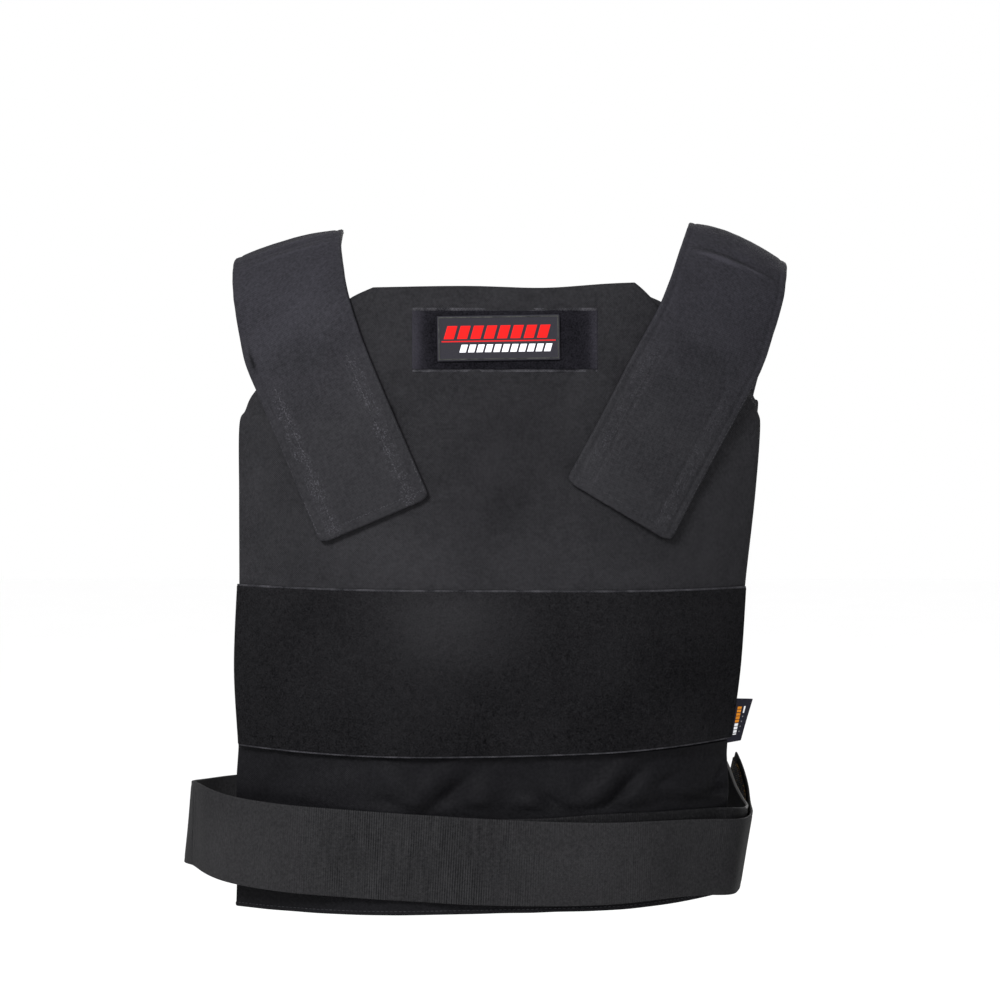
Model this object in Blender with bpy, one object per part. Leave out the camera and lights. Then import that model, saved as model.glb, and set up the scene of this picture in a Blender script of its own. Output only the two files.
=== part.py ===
"""Concealable body-armour vest in its worn form, built from its sewn pieces.

Metres, +Z up. The chest faces -Y, and the wearer's right side is at -X.
The origin is midway between the undersides of the two shoulder straps, where they sit on the shoulders.
Tables are in millimetres and are scaled by MM where they are read.
"""
import math
from collections import namedtuple

import bmesh
import bpy
from mathutils import Vector

MM = 0.001

# Wall thicknesses
ARMOUR_THICK = 9.0
CARRIER_EDGE_THICK = 3.0
CARRIER_EDGE_WIDTH = 10.0
FLAP_THICK = 2.4
STRAP_THICK = 4.0
HOOK_THICK = 1.6
BELT_THICK = 2.4
TAPE_THICK = 1.6
PATCH_THICK = 1.8
LABEL_THICK = 1.2

# Sizes of the flat pieces
FIELD_WIDTH = 144.0
FIELD_HEIGHT = 51.5
PATCH_WIDTH = 94.5
PATCH_HEIGHT = 35.5
HOOK_LENGTH = 112.0
HOOK_MARGIN = 3.0
BELT_HOOK_LENGTH = 58.0

# Clearance between touching pieces
SEAM_GAP = 0.5

# How round the wall's cut edge is, as a share of its thickness
ROUND_EDGE = 0.3

# Chest and back curve: flat for the first stretch each side of the middle, then drawn back like a bow
FLAT_HALF_WIDTH = 60.0
BOW_HALF_WIDTH = 205.0

FormRow = namedtuple("FormRow", "z depth set_back_left set_back_right")
FRONT_FORM = (
    FormRow(z=-38, depth=-97, set_back_left=33, set_back_right=33),
    FormRow(z=-130, depth=-110, set_back_left=45, set_back_right=50),
    FormRow(z=-230, depth=-119, set_back_left=47, set_back_right=58),
    FormRow(z=-330, depth=-121, set_back_left=48, set_back_right=68),
    FormRow(z=-410, depth=-117, set_back_left=47, set_back_right=80),
    FormRow(z=-470, depth=-114, set_back_left=46, set_back_right=86),
    FormRow(z=-545, depth=-112, set_back_left=46, set_back_right=112),
)
BACK_FORM = (
    FormRow(z=-44, depth=88, set_back_left=-30, set_back_right=-30),
    FormRow(z=-130, depth=106, set_back_left=-38, set_back_right=-38),
    FormRow(z=-240, depth=115, set_back_left=-44, set_back_right=-44),
    FormRow(z=-350, depth=108, set_back_left=-48, set_back_right=-48),
    FormRow(z=-520, depth=102, set_back_left=-50, set_back_right=-50),
)

EdgeRow = namedtuple("EdgeRow", "left_x left_z right_x right_z")
FRONT_OUTLINE = (
    EdgeRow(left_x=-109, left_z=-42, right_x=96, right_z=-38),
    EdgeRow(left_x=-129, left_z=-52, right_x=106, right_z=-47),
    EdgeRow(left_x=-152, left_z=-74, right_x=130, right_z=-73),
    EdgeRow(left_x=-178, left_z=-99, right_x=158, right_z=-99),
    EdgeRow(left_x=-204, left_z=-124, right_x=187, right_z=-126),
    EdgeRow(left_x=-214, left_z=-139, right_x=196, right_z=-139),
    EdgeRow(left_x=-217, left_z=-155, right_x=197, right_z=-155),
    EdgeRow(left_x=-217, left_z=-210, right_x=193, right_z=-205),
    EdgeRow(left_x=-217, left_z=-279, right_x=185, right_z=-277),
    EdgeRow(left_x=-218, left_z=-345, right_x=180, right_z=-343),
    EdgeRow(left_x=-218, left_z=-407, right_x=174, right_z=-405),
)
BACK_OUTLINE = (
    EdgeRow(left_x=-112, left_z=-46, right_x=118, right_z=-46),
    EdgeRow(left_x=-132, left_z=-58, right_x=138, right_z=-58),
    EdgeRow(left_x=-182, left_z=-104, right_x=188, right_z=-104),
    EdgeRow(left_x=-207, left_z=-130, right_x=204, right_z=-130),
    EdgeRow(left_x=-211, left_z=-152, right_x=206, right_z=-152),
    EdgeRow(left_x=-208, left_z=-300, right_x=186, right_z=-300),
    EdgeRow(left_x=-202, left_z=-440, right_x=168, right_z=-440),
    EdgeRow(left_x=-190, left_z=-516, right_x=156, right_z=-516),
)
FLAP_OUTLINE = (
    EdgeRow(left_x=-217, left_z=-410, right_x=172, right_z=-408),
    EdgeRow(left_x=-217, left_z=-436, right_x=171, right_z=-436),
    EdgeRow(left_x=-220, left_z=-482, right_x=172, right_z=-480),
    EdgeRow(left_x=-222, left_z=-538, right_x=174, right_z=-528),
)
BAND_OUTLINE = (
    EdgeRow(left_x=-219, left_z=-277, right_x=186, right_z=-278),
    EdgeRow(left_x=-222, left_z=-345, right_x=182, right_z=-343),
    EdgeRow(left_x=-220, left_z=-412, right_x=175, right_z=-405),
)

# The folds die out where the belt holds the flap flat
FOLD_FOOT = -453.0
FOLD_FADE = 12.0

FoldRow = namedtuple("FoldRow", "x z angle half_length half_width height")
FLAP_FOLDS = (
    FoldRow(x=-88, z=-437, angle=-35, half_length=26, half_width=11, height=3.5),
    FoldRow(x=-52, z=-431, angle=20, half_length=34, half_width=9, height=2.5),
    FoldRow(x=32, z=-438, angle=8, half_length=30, half_width=10, height=3.0),
    FoldRow(x=80, z=-436, angle=42, half_length=28, half_width=9, height=3.5),
    FoldRow(x=132, z=-432, angle=-6, half_length=24, half_width=9, height=2.5),
)

StrapRow = namedtuple("StrapRow", "outer_x outer_y outer_z inner_x inner_y inner_z hug crown")
LEFT_STRAP = (
    StrapRow(-149, -105, -240, -66, -124, -204, hug=1, crown=0),
    StrapRow(-163, -97, -208, -80, -121, -172, hug=1, crown=0),
    StrapRow(-177, -87, -176, -94, -116, -140, hug=1, crown=0),
    StrapRow(-190, -80, -147, -107, -111, -110, hug=1, crown=0),
    StrapRow(-202, -73, -120, -118, -105, -83, hug=1, crown=2),
    StrapRow(-211, -67, -98, -126, -100, -60, hug=0.5, crown=6),
    StrapRow(-216, -62, -78, -131, -91, -43, hug=0, crown=8),
    StrapRow(-220, -54, -57, -135, -74, -26, hug=0, crown=7),
    StrapRow(-223, -42, -38, -138, -51, -12, hug=0, crown=6),
    StrapRow(-224, -22, -25, -139, -26, 0, hug=0, crown=6),
    StrapRow(-224, 2, -20, -139, 2, 4, hug=0, crown=6),
    StrapRow(-224, 26, -26, -142, 30, -1, hug=0, crown=6),
    StrapRow(-223, 46, -41, -145, 54, -14, hug=0, crown=6),
    StrapRow(-219, 63, -62, -144, 75, -34, hug=0, crown=6),
    StrapRow(-213, 77, -88, -139, 92, -62, hug=0.3, crown=5),
    StrapRow(-205, 84, -118, -130, 102, -95, hug=1, crown=0),
    StrapRow(-198, 92, -152, -122, 108, -130, hug=1, crown=0),
    StrapRow(-193, 96, -182, -117, 112, -160, hug=1, crown=0),
)
RIGHT_STRAP = (
    StrapRow(123, -116, -238, 44, -124, -191, hug=1, crown=0),
    StrapRow(139, -108, -208, 61, -121, -160, hug=1, crown=0),
    StrapRow(155, -99, -179, 77, -117, -130, hug=1, crown=0),
    StrapRow(171, -89, -151, 92, -112, -101, hug=1, crown=0),
    StrapRow(185, -79, -126, 106, -107, -76, hug=1, crown=2),
    StrapRow(198, -70, -103, 117, -99, -56, hug=0.5, crown=6),
    StrapRow(207, -63, -78, 125, -87, -38, hug=0, crown=7),
    StrapRow(215, -53, -54, 132, -70, -22, hug=0, crown=7),
    StrapRow(219, -40, -39, 138, -48, -9, hug=0, crown=6),
    StrapRow(222, -20, -28, 144, -24, 4, hug=0, crown=6),
    StrapRow(223, 2, -24, 147, 2, 8, hug=0, crown=6),
    StrapRow(224, 24, -28, 151, 28, 2, hug=0, crown=6),
    StrapRow(224, 44, -42, 153, 52, -12, hug=0, crown=6),
    StrapRow(221, 62, -62, 150, 74, -32, hug=0, crown=6),
    StrapRow(214, 78, -88, 144, 92, -60, hug=0.3, crown=5),
    StrapRow(206, 84, -118, 135, 102, -93, hug=1, crown=0),
    StrapRow(199, 92, -152, 126, 108, -128, hug=1, crown=0),
    StrapRow(194, 96, -182, 119, 112, -159, hug=1, crown=0),
)

BeltRow = namedtuple("BeltRow", "x y z height lean front_hug back_hug")
OUTER_BELT = (
    BeltRow(-128, 98, -448, height=67, lean=0, front_hug=0, back_hug=1),
    BeltRow(-168, 82, -449, height=67, lean=0, front_hug=0, back_hug=1),
    BeltRow(-208, 70, -450, height=67, lean=0, front_hug=0, back_hug=0),
    BeltRow(-238, 52, -450, height=67, lean=2, front_hug=0, back_hug=0),
    BeltRow(-255, 28, -449, height=67, lean=5, front_hug=0, back_hug=0),
    BeltRow(-263, -2, -446, height=66, lean=6, front_hug=0, back_hug=0),
    BeltRow(-257, -30, -443, height=67, lean=3, front_hug=0, back_hug=0),
    BeltRow(-241, -60, -445, height=68, lean=2, front_hug=0, back_hug=0),
    BeltRow(-218, -80, -448, height=68, lean=2, front_hug=0, back_hug=0),
    BeltRow(-178, -97, -451, height=68, lean=2, front_hug=0, back_hug=0),
    BeltRow(-130, -109, -453, height=68, lean=1, front_hug=0.1, back_hug=0),
    BeltRow(-83, -118, -455, height=68, lean=0, front_hug=0.7, back_hug=0),
    BeltRow(-27, -120, -458, height=67.5, lean=0, front_hug=1, back_hug=0),
    BeltRow(27, -120, -460.5, height=66, lean=0, front_hug=1, back_hug=0),
    BeltRow(73, -119, -461.5, height=64, lean=0, front_hug=1, back_hug=0),
    BeltRow(120, -106, -462, height=62, lean=-4, front_hug=1, back_hug=0),
    BeltRow(156, -90, -464, height=61, lean=-6, front_hug=1, back_hug=0),
    BeltRow(182, -73, -466, height=61, lean=-7, front_hug=0, back_hug=0),
    BeltRow(192, -50, -467.5, height=61, lean=-9, front_hug=0, back_hug=0),
    BeltRow(197, -22, -467.5, height=61, lean=-10, front_hug=0, back_hug=0),
    BeltRow(197.5, 5, -464, height=61, lean=-9, front_hug=0, back_hug=0),
    BeltRow(197.5, 26, -453, height=61, lean=-6, front_hug=0, back_hug=0),
    BeltRow(195, 48, -441, height=61, lean=-5, front_hug=0, back_hug=0),
    BeltRow(191.5, 66, -432, height=61, lean=-4, front_hug=0, back_hug=0),
)
INNER_BELT = (
    BeltRow(-27, -118, -455.5, height=63, lean=0, front_hug=1, back_hug=0),
    BeltRow(27, -118, -455.5, height=63, lean=0, front_hug=1, back_hug=0),
    BeltRow(73, -117, -455, height=63, lean=0, front_hug=1, back_hug=0),
    BeltRow(120, -104, -455, height=63, lean=-4, front_hug=1, back_hug=0),
    BeltRow(156, -84, -456, height=63, lean=-6, front_hug=1, back_hug=0),
    BeltRow(179, -67.5, -458, height=63, lean=-7, front_hug=0, back_hug=0),
    BeltRow(187, -46, -461, height=63, lean=-9, front_hug=0, back_hug=0),
    BeltRow(191, -21, -463.5, height=63, lean=-10, front_hug=0, back_hug=0),
    BeltRow(190.5, 4, -462, height=63, lean=-9, front_hug=0, back_hug=0),
    BeltRow(187.5, 26, -453, height=63, lean=-6, front_hug=0, back_hug=0),
    BeltRow(184, 48, -442, height=63, lean=-4, front_hug=0, back_hug=0),
    BeltRow(180, 68, -435, height=63, lean=-2, front_hug=0, back_hug=0),
    BeltRow(171, 86, -430, height=63, lean=0, front_hug=0, back_hug=0),
    BeltRow(152, 92, -427, height=63, lean=0, front_hug=0, back_hug=1),
    BeltRow(122, 99, -424, height=63, lean=0, front_hug=0, back_hug=1),
)

LabelCorner = namedtuple("LabelCorner", "x y z")
LABEL_CORNERS = (
    LabelCorner(x=175, y=-69.2, z=-369),
    LabelCorner(x=192, y=-56, z=-372),
    LabelCorner(x=182, y=-57, z=-405),
    LabelCorner(x=171, y=-66.5, z=-405),
)

FIELD_CENTRE = (-5.5, -80.5)
PATCH_CENTRE = (-10.5, -80.3)
PATCH_TILT = 0.9

Cloth = namedtuple("Cloth", "colour roughness")
NYLON = Cloth(colour=(0.016, 0.016, 0.019), roughness=0.78)
LOOP_PILE = Cloth(colour=(0.008, 0.008, 0.010), roughness=0.92)
ELASTIC = Cloth(colour=(0.022, 0.022, 0.024), roughness=0.72)
HOOK_TAPE = Cloth(colour=(0.030, 0.027, 0.024), roughness=0.6)
PATCH_CLOTH = Cloth(colour=(0.020, 0.020, 0.023), roughness=0.7)
LABEL_CLOTH = Cloth(colour=(0.030, 0.030, 0.034), roughness=0.5)


def clear_scene():
    """Remove whatever the opened file already holds."""
    for thing in list(bpy.data.objects):
        bpy.data.objects.remove(thing, do_unlink=True)


def mix(low, high, share):
    """Linear blend of two numbers or vectors."""
    return low + (high - low) * share


def smooth_step(share):
    """Ease from 0 to 1."""
    share = min(max(share, 0.0), 1.0)
    return share * share * (3.0 - 2.0 * share)


def form_at(rows, height):
    """Read a form table, ordered from top to bottom, at one height."""
    if height >= rows[0].z:
        return rows[0]
    for upper, lower in zip(rows, rows[1:]):
        if height >= lower.z:
            share = (upper.z - height) / (upper.z - lower.z)
            return FormRow(*(mix(a, b, share) for a, b in zip(upper, lower)))
    return rows[-1]


def form_depth(rows, x, z):
    """Depth of the chest's or the back's middle layer at one place, in millimetres."""
    row = form_at(rows, z)
    set_back = row.set_back_left if x < 0 else row.set_back_right
    bow = max(0.0, abs(x) - FLAT_HALF_WIDTH) / (BOW_HALF_WIDTH - FLAT_HALF_WIDTH)
    return row.depth + set_back * bow * bow


def lying_depth(rows, x, z, lift):
    """Depth of a layer that lies parallel to the form, at a distance measured square to it."""
    step = 1.0
    slope_x = (form_depth(rows, x + step, z) - form_depth(rows, x - step, z)) / (2.0 * step)
    slope_z = (form_depth(rows, x, z + step) - form_depth(rows, x, z - step)) / (2.0 * step)
    return form_depth(rows, x, z) + lift * math.sqrt(1.0 + slope_x ** 2 + slope_z ** 2)


def fold_height(x, z):
    """How far the tuck-in flap's soft folds stand forward at one place."""
    total = 0.0
    for fold in FLAP_FOLDS:
        turn = math.radians(fold.angle)
        along = (x - fold.x) * math.cos(turn) + (z - fold.z) * math.sin(turn)
        across = -(x - fold.x) * math.sin(turn) + (z - fold.z) * math.cos(turn)
        spread = (along / fold.half_length) ** 2 + (across / fold.half_width) ** 2
        total += fold.height * math.exp(-spread)
    return total * smooth_step((z - FOLD_FOOT) / FOLD_FADE)


def curve_row(rows, place):
    """Read a table at a fractional row number, on a smooth curve through its rows."""
    last = len(rows) - 1
    index = min(int(place), last - 1)
    t = place - index
    before, here, there, after = (rows[min(max(index + k, 0), last)] for k in (-1, 0, 1, 2))
    values = []
    for a, b, c, d in zip(before, here, there, after):
        slope_in = (c - a) / 2.0
        slope_out = (d - b) / 2.0
        t2 = t * t
        t3 = t2 * t
        value = (2 * t3 - 3 * t2 + 1) * b + (t3 - 2 * t2 + t) * slope_in
        value += (-2 * t3 + 3 * t2) * c + (t3 - t2) * slope_out
        values.append(value)
    return type(here)(*values)


def even_rows(rows, count, point_of):
    """Sample a table at places evenly spaced along its curve."""
    steps = 12 * (len(rows) - 1)
    dense = [curve_row(rows, (len(rows) - 1) * k / steps) for k in range(steps + 1)]
    length = [0.0]
    for one, two in zip(dense, dense[1:]):
        length.append(length[-1] + (point_of(two) - point_of(one)).length)
    picked = []
    k = 0
    for number in range(count):
        target = length[-1] * number / (count - 1)
        while k < steps - 1 and length[k + 1] < target:
            k += 1
        share = (target - length[k]) / (length[k + 1] - length[k])
        picked.append(type(dense[k])(*(mix(a, b, share) for a, b in zip(dense[k], dense[k + 1]))))
    return picked


def cloth_material(name, cloth):
    """A plain cloth material for one piece."""
    material = bpy.data.materials.new(name)
    material.use_nodes = True
    shader = material.node_tree.nodes["Principled BSDF"]
    shader.inputs["Base Color"].default_value = (*cloth.colour, 1.0)
    shader.inputs["Roughness"].default_value = cloth.roughness
    shader.inputs["Metallic"].default_value = 0.0
    return material


def wall_normals(grid):
    """Unit normals of a grid of points."""
    rows = len(grid)
    columns = len(grid[0])
    normals = []
    for i in range(rows):
        line = []
        for j in range(columns):
            down = grid[min(i + 1, rows - 1)][j] - grid[max(i - 1, 0)][j]
            across = grid[i][min(j + 1, columns - 1)] - grid[i][max(j - 1, 0)]
            line.append(across.cross(down).normalized())
        normals.append(line)
    return normals


def border_of(rows, columns):
    """Grid places around the edge, in order."""
    top = [(0, j) for j in range(columns)]
    right = [(i, columns - 1) for i in range(1, rows)]
    bottom = [(rows - 1, j) for j in range(columns - 2, -1, -1)]
    left = [(i, 0) for i in range(rows - 2, 0, -1)]
    return top + right + bottom + left


def wall_from_grid(name, grid, thickness, cloth, round_edge=0.0):
    """Turn a grid of middle-layer points, in millimetres, into one closed wall.

    thickness is one number or a function of the grid place. round_edge swells the cut edge
    by that share of the wall's thickness.
    """
    rows = len(grid)
    columns = len(grid[0])
    normals = wall_normals(grid)
    thick_at = thickness if callable(thickness) else (lambda i, j: thickness)
    mesh_maker = bmesh.new()
    front = {}
    back = {}
    for i in range(rows):
        for j in range(columns):
            half = normals[i][j] * (thick_at(i, j) / 2.0)
            front[i, j] = mesh_maker.verts.new((grid[i][j] + half) * MM)
            back[i, j] = mesh_maker.verts.new((grid[i][j] - half) * MM)
    for i in range(rows - 1):
        for j in range(columns - 1):
            corners = ((i, j), (i + 1, j), (i + 1, j + 1), (i, j + 1))
            mesh_maker.faces.new([front[c] for c in corners])
            mesh_maker.faces.new([back[c] for c in reversed(corners)])
    border = border_of(rows, columns)
    loops = [[front[c] for c in border], [back[c] for c in border]]
    if round_edge > 0.0:
        middle = []
        for i, j in border:
            inside = grid[min(max(i, 1), rows - 2)][min(max(j, 1), columns - 2)]
            outwards = (grid[i][j] - inside).normalized()
            swell = outwards * (thick_at(i, j) * round_edge)
            middle.append(mesh_maker.verts.new((grid[i][j] + swell) * MM))
        loops.insert(1, middle)
    for one, two in zip(loops, loops[1:]):
        for k in range(len(border)):
            n = (k + 1) % len(border)
            mesh_maker.faces.new((one[k], one[n], two[n], two[k]))
    bmesh.ops.recalc_face_normals(mesh_maker, faces=mesh_maker.faces)
    mesh = bpy.data.meshes.new(name)
    mesh_maker.to_mesh(mesh)
    mesh_maker.free()
    mesh.shade_smooth()
    mesh.set_sharp_from_angle(angle=math.radians(40))
    piece = bpy.data.objects.new(name, mesh)
    piece.data.materials.append(cloth_material(name, cloth))
    bpy.context.scene.collection.objects.link(piece)
    return piece


def sheet_stations(low, high, count, edge):
    """Even stations between two edges, with one more just inside each edge."""
    inner = [mix(low + edge, high - edge, k / (count - 1)) for k in range(count)]
    return [low, *inner, high]


def panel_grid(outline, form, columns, row_places, edge, lift=0.0, folds=False):
    """Middle layer of a panel: each row runs from its left to its right edge on the form."""
    grid = []
    for place in row_places:
        row = curve_row(outline, place)
        line = []
        for x in sheet_stations(row.left_x, row.right_x, columns, edge):
            share = (x - row.left_x) / (row.right_x - row.left_x)
            z = mix(row.left_z, row.right_z, share)
            y = lying_depth(form, x, z, lift)
            if folds:
                y -= fold_height(x, z)
            line.append(Vector((x, y, z)))
        grid.append(line)
    return grid


def padded_thickness(rows, columns):
    """Full thickness inside, thin at the sewn edge."""
    def thick_at(i, j):
        on_edge = i in (0, rows - 1) or j in (0, columns - 1)
        return CARRIER_EDGE_THICK if on_edge else ARMOUR_THICK
    return thick_at


def row_places(outline, edge_share, extra):
    """Row numbers of a panel, with rows just inside its top and bottom edges."""
    last = len(outline) - 1
    places = {0.0, edge_share[0], last - edge_share[1], float(last)}
    places.update(float(k) for k in range(2, last))
    places.update(extra)
    return sorted(places)


def make_front_carrier():
    """The padded front panel."""
    places = row_places(FRONT_OUTLINE, (0.9, 0.17), (7.5, 8.5, 9.4))
    columns = 21
    grid = panel_grid(FRONT_OUTLINE, FRONT_FORM, columns, places, CARRIER_EDGE_WIDTH)
    thick = padded_thickness(len(grid), columns + 2)
    wall_from_grid("front_carrier", grid, thick, NYLON, ROUND_EDGE)


def make_back_carrier():
    """The padded back panel."""
    places = row_places(BACK_OUTLINE, (0.85, 0.35), (4.5, 5.5))
    columns = 15
    grid = panel_grid(BACK_OUTLINE, BACK_FORM, columns, places, CARRIER_EDGE_WIDTH)
    thick = padded_thickness(len(grid), columns + 2)
    wall_from_grid("back_carrier", grid, thick, NYLON, ROUND_EDGE)


def make_tuck_flap():
    """The soft flap under the armour, which tucks into the trousers."""
    places = (0.0, 0.35, 0.7, 1.0, 1.35, 1.7, 2.0, 2.5, 3.0)
    grid = panel_grid(FLAP_OUTLINE, FRONT_FORM, 23, places, CARRIER_EDGE_WIDTH, folds=True)
    wall_from_grid("tuck_flap", grid, FLAP_THICK, NYLON)


def make_loop_band():
    """The wide loop tape across the belly."""
    lift = -(ARMOUR_THICK + TAPE_THICK) / 2.0 - SEAM_GAP
    places = (0.0, 0.5, 1.0, 1.5, 2.0)
    grid = panel_grid(BAND_OUTLINE, FRONT_FORM, 21, places, CARRIER_EDGE_WIDTH, lift)
    wall_from_grid("loop_band", grid, TAPE_THICK, LOOP_PILE)


def flat_tile(name, centre, width, height, thick, lift, cloth, tilt=0.0):
    """A flat rectangle of tape on the chest, leaning with it."""
    top = form_depth(FRONT_FORM, 0, centre[1] + height / 2.0)
    foot = form_depth(FRONT_FORM, 0, centre[1] - height / 2.0)
    turn = math.radians(tilt)
    grid = []
    for down in (-0.5, 0.0, 0.5):
        line = []
        for across in (-0.5, -0.25, 0.0, 0.25, 0.5):
            x = across * width * math.cos(turn) + down * height * math.sin(turn)
            drop = down * height * math.cos(turn) - across * width * math.sin(turn)
            y = mix(top, foot, drop / height + 0.5) - lift
            line.append(Vector((centre[0] + x, y, centre[1] - drop)))
        grid.append(line)
    return wall_from_grid(name, grid, thick, cloth)


def strap_grid(rows, stations, columns, front_lift, back_lift, share=(0.0, 1.0), side=(0.0, 1.0)):
    """Middle layer of a shoulder strap, from its hook end to the back panel."""
    def middle(row):
        outer = Vector((row.outer_x, row.outer_y, row.outer_z))
        inner = Vector((row.inner_x, row.inner_y, row.inner_z))
        return (outer + inner) / 2.0

    whole = even_rows(rows, 97, middle)
    grid = []
    for number in range(stations):
        place = mix(share[0], share[1], number / (stations - 1)) * (len(whole) - 1)
        row = curve_row(whole, place)
        outer = Vector((row.outer_x, row.outer_y, row.outer_z))
        inner = Vector((row.inner_x, row.inner_y, row.inner_z))
        here = middle(row)
        hug = smooth_step(row.hug)
        away = Vector((0.0, here.y, here.z + 110.0)).normalized()
        line = []
        for k in range(columns):
            t = mix(side[0], side[1], k / (columns - 1))
            point = mix(outer, inner, t) + away * (row.crown * 4.0 * t * (1.0 - t))
            if here.y < 0.0:
                lying = lying_depth(FRONT_FORM, point.x, point.z, -front_lift)
            else:
                lying = lying_depth(BACK_FORM, point.x, point.z, back_lift)
            point.y = mix(point.y, lying, hug)
            line.append(point)
        grid.append(line)
    return grid


def make_shoulder_strap(side, rows):
    """One shoulder strap with the hook tape under its front end."""
    face = ARMOUR_THICK / 2.0 + SEAM_GAP
    over_hook = face + HOOK_THICK + SEAM_GAP + STRAP_THICK / 2.0
    on_back = face + STRAP_THICK / 2.0
    grid = strap_grid(rows, 36, 8, over_hook, on_back)
    wall_from_grid("shoulder_strap_" + side, grid, STRAP_THICK, NYLON, ROUND_EDGE)

    def middle(row):
        return Vector((row.outer_x + row.inner_x, row.outer_y + row.inner_y, row.outer_z + row.inner_z)) / 2.0

    spine = even_rows(rows, 97, middle)
    length = sum((middle(b) - middle(a)).length for a, b in zip(spine, spine[1:]))
    width = (Vector((rows[0].outer_x, 0, rows[0].outer_z)) - Vector((rows[0].inner_x, 0, rows[0].inner_z))).length
    along = (HOOK_MARGIN / length, (HOOK_MARGIN + HOOK_LENGTH) / length)
    across = (HOOK_MARGIN / width, 1.0 - HOOK_MARGIN / width)
    hook_grid = strap_grid(rows, 8, 6, face + HOOK_THICK / 2.0, on_back, along, across)
    wall_from_grid("strap_hook_" + side, hook_grid, HOOK_THICK, HOOK_TAPE)


def belt_grid(rows, stations, columns, front_lift, back_lift, share=(0.0, 1.0), margin=0.0, shift=0.0):
    """Middle layer of a belt: each station hangs from its top edge, square to the belt's run."""
    whole = even_rows(rows, 161, lambda row: Vector((row.x, row.y, row.z)))
    grid = []
    for number in range(stations):
        place = mix(share[0], share[1], number / (stations - 1)) * (len(whole) - 1)
        row = curve_row(whole, place)
        ahead = curve_row(whole, min(place + 1.0, len(whole) - 1))
        behind = curve_row(whole, max(place - 1.0, 0.0))
        run = Vector((ahead.x - behind.x, ahead.y - behind.y, ahead.z - behind.z)).normalized()
        outwards = run.cross(Vector((0.0, 0.0, 1.0))).normalized()
        down = outwards.cross(run).normalized()
        if down.z > 0.0:
            down = -down
        drop = math.sqrt(row.height ** 2 - row.lean ** 2)
        top = Vector((row.x, row.y, row.z))
        front_hug = smooth_step(row.front_hug)
        back_hug = smooth_step(row.back_hug)
        edge = margin / row.height
        line = []
        for k in range(columns):
            t = mix(edge, 1.0 - edge, k / (columns - 1))
            point = top + down * (drop * t) + outwards * (row.lean * t + shift)
            on_front = lying_depth(FRONT_FORM, point.x, point.z, -front_lift(point.x))
            on_back = lying_depth(BACK_FORM, point.x, point.z, back_lift)
            point.y = mix(point.y, on_front, front_hug)
            point.y = mix(point.y, on_back, back_hug)
            line.append(point)
        grid.append(line)
    return grid


def make_belts():
    """The two elastic side straps and the hook tape on the outer one's free end."""
    on_flap = FLAP_THICK / 2.0 + SEAM_GAP + BELT_THICK / 2.0
    on_back = ARMOUR_THICK / 2.0 + SEAM_GAP + BELT_THICK / 2.0
    step = BELT_THICK + SEAM_GAP
    inner_end = INNER_BELT[0].x

    def over_inner(x):
        return on_flap + step * smooth_step((x - inner_end + 45.0) / 35.0)

    outer = belt_grid(OUTER_BELT, 62, 6, over_inner, on_back)
    wall_from_grid("belt_outer", outer, BELT_THICK, ELASTIC)
    inner = belt_grid(INNER_BELT, 34, 6, lambda x: on_flap, on_back)
    wall_from_grid("belt_inner", inner, BELT_THICK, ELASTIC)
    inside = -(BELT_THICK + HOOK_THICK) / 2.0 - SEAM_GAP
    length = sum((Vector(b[:3]) - Vector(a[:3])).length for a, b in zip(OUTER_BELT, OUTER_BELT[1:]))
    end = (1.0 - (BELT_HOOK_LENGTH + HOOK_MARGIN) / length, 1.0 - HOOK_MARGIN / length)
    hook = belt_grid(OUTER_BELT, 8, 4, over_inner, on_back, end, HOOK_MARGIN, inside)
    wall_from_grid("belt_hook", hook, HOOK_THICK, HOOK_TAPE)


def make_side_label():
    """The folded woven label in the right-hand seam."""
    top_in, top_out, foot_out, foot_in = (Vector(corner) for corner in LABEL_CORNERS)
    grid = []
    for down in (0.0, 0.33, 0.67, 1.0):
        start = mix(top_in, foot_in, down)
        end = mix(top_out, foot_out, down)
        curl = Vector((0.0, 2.0, 0.0)) * (4.0 * down * (1.0 - down))
        grid.append([mix(start, end, across) + curl * across for across in (0.0, 0.5, 1.0)])
    wall_from_grid("side_label", grid, LABEL_THICK, LABEL_CLOTH)


def make_vest():
    """Build every piece of the vest."""
    clear_scene()
    make_front_carrier()
    make_back_carrier()
    make_tuck_flap()
    make_loop_band()
    field_lift = (ARMOUR_THICK + TAPE_THICK) / 2.0 + SEAM_GAP
    patch_lift = field_lift + (TAPE_THICK + PATCH_THICK) / 2.0 + SEAM_GAP
    flat_tile("chest_loop_field", FIELD_CENTRE, FIELD_WIDTH, FIELD_HEIGHT, TAPE_THICK, field_lift, LOOP_PILE)
    flat_tile("name_patch", PATCH_CENTRE, PATCH_WIDTH, PATCH_HEIGHT, PATCH_THICK, patch_lift, PATCH_CLOTH, PATCH_TILT)
    make_shoulder_strap("left", LEFT_STRAP)
    make_shoulder_strap("right", RIGHT_STRAP)
    make_belts()
    make_side_label()


make_vest()
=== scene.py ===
"""The looks of a concealable soft-armour vest in its worn form.

Tables are in millimetres and follow the source's own closely; meshes and materials are in
metres. The chest faces -Y, and left and right are the viewer's.
"""
import math
from collections import namedtuple

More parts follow.
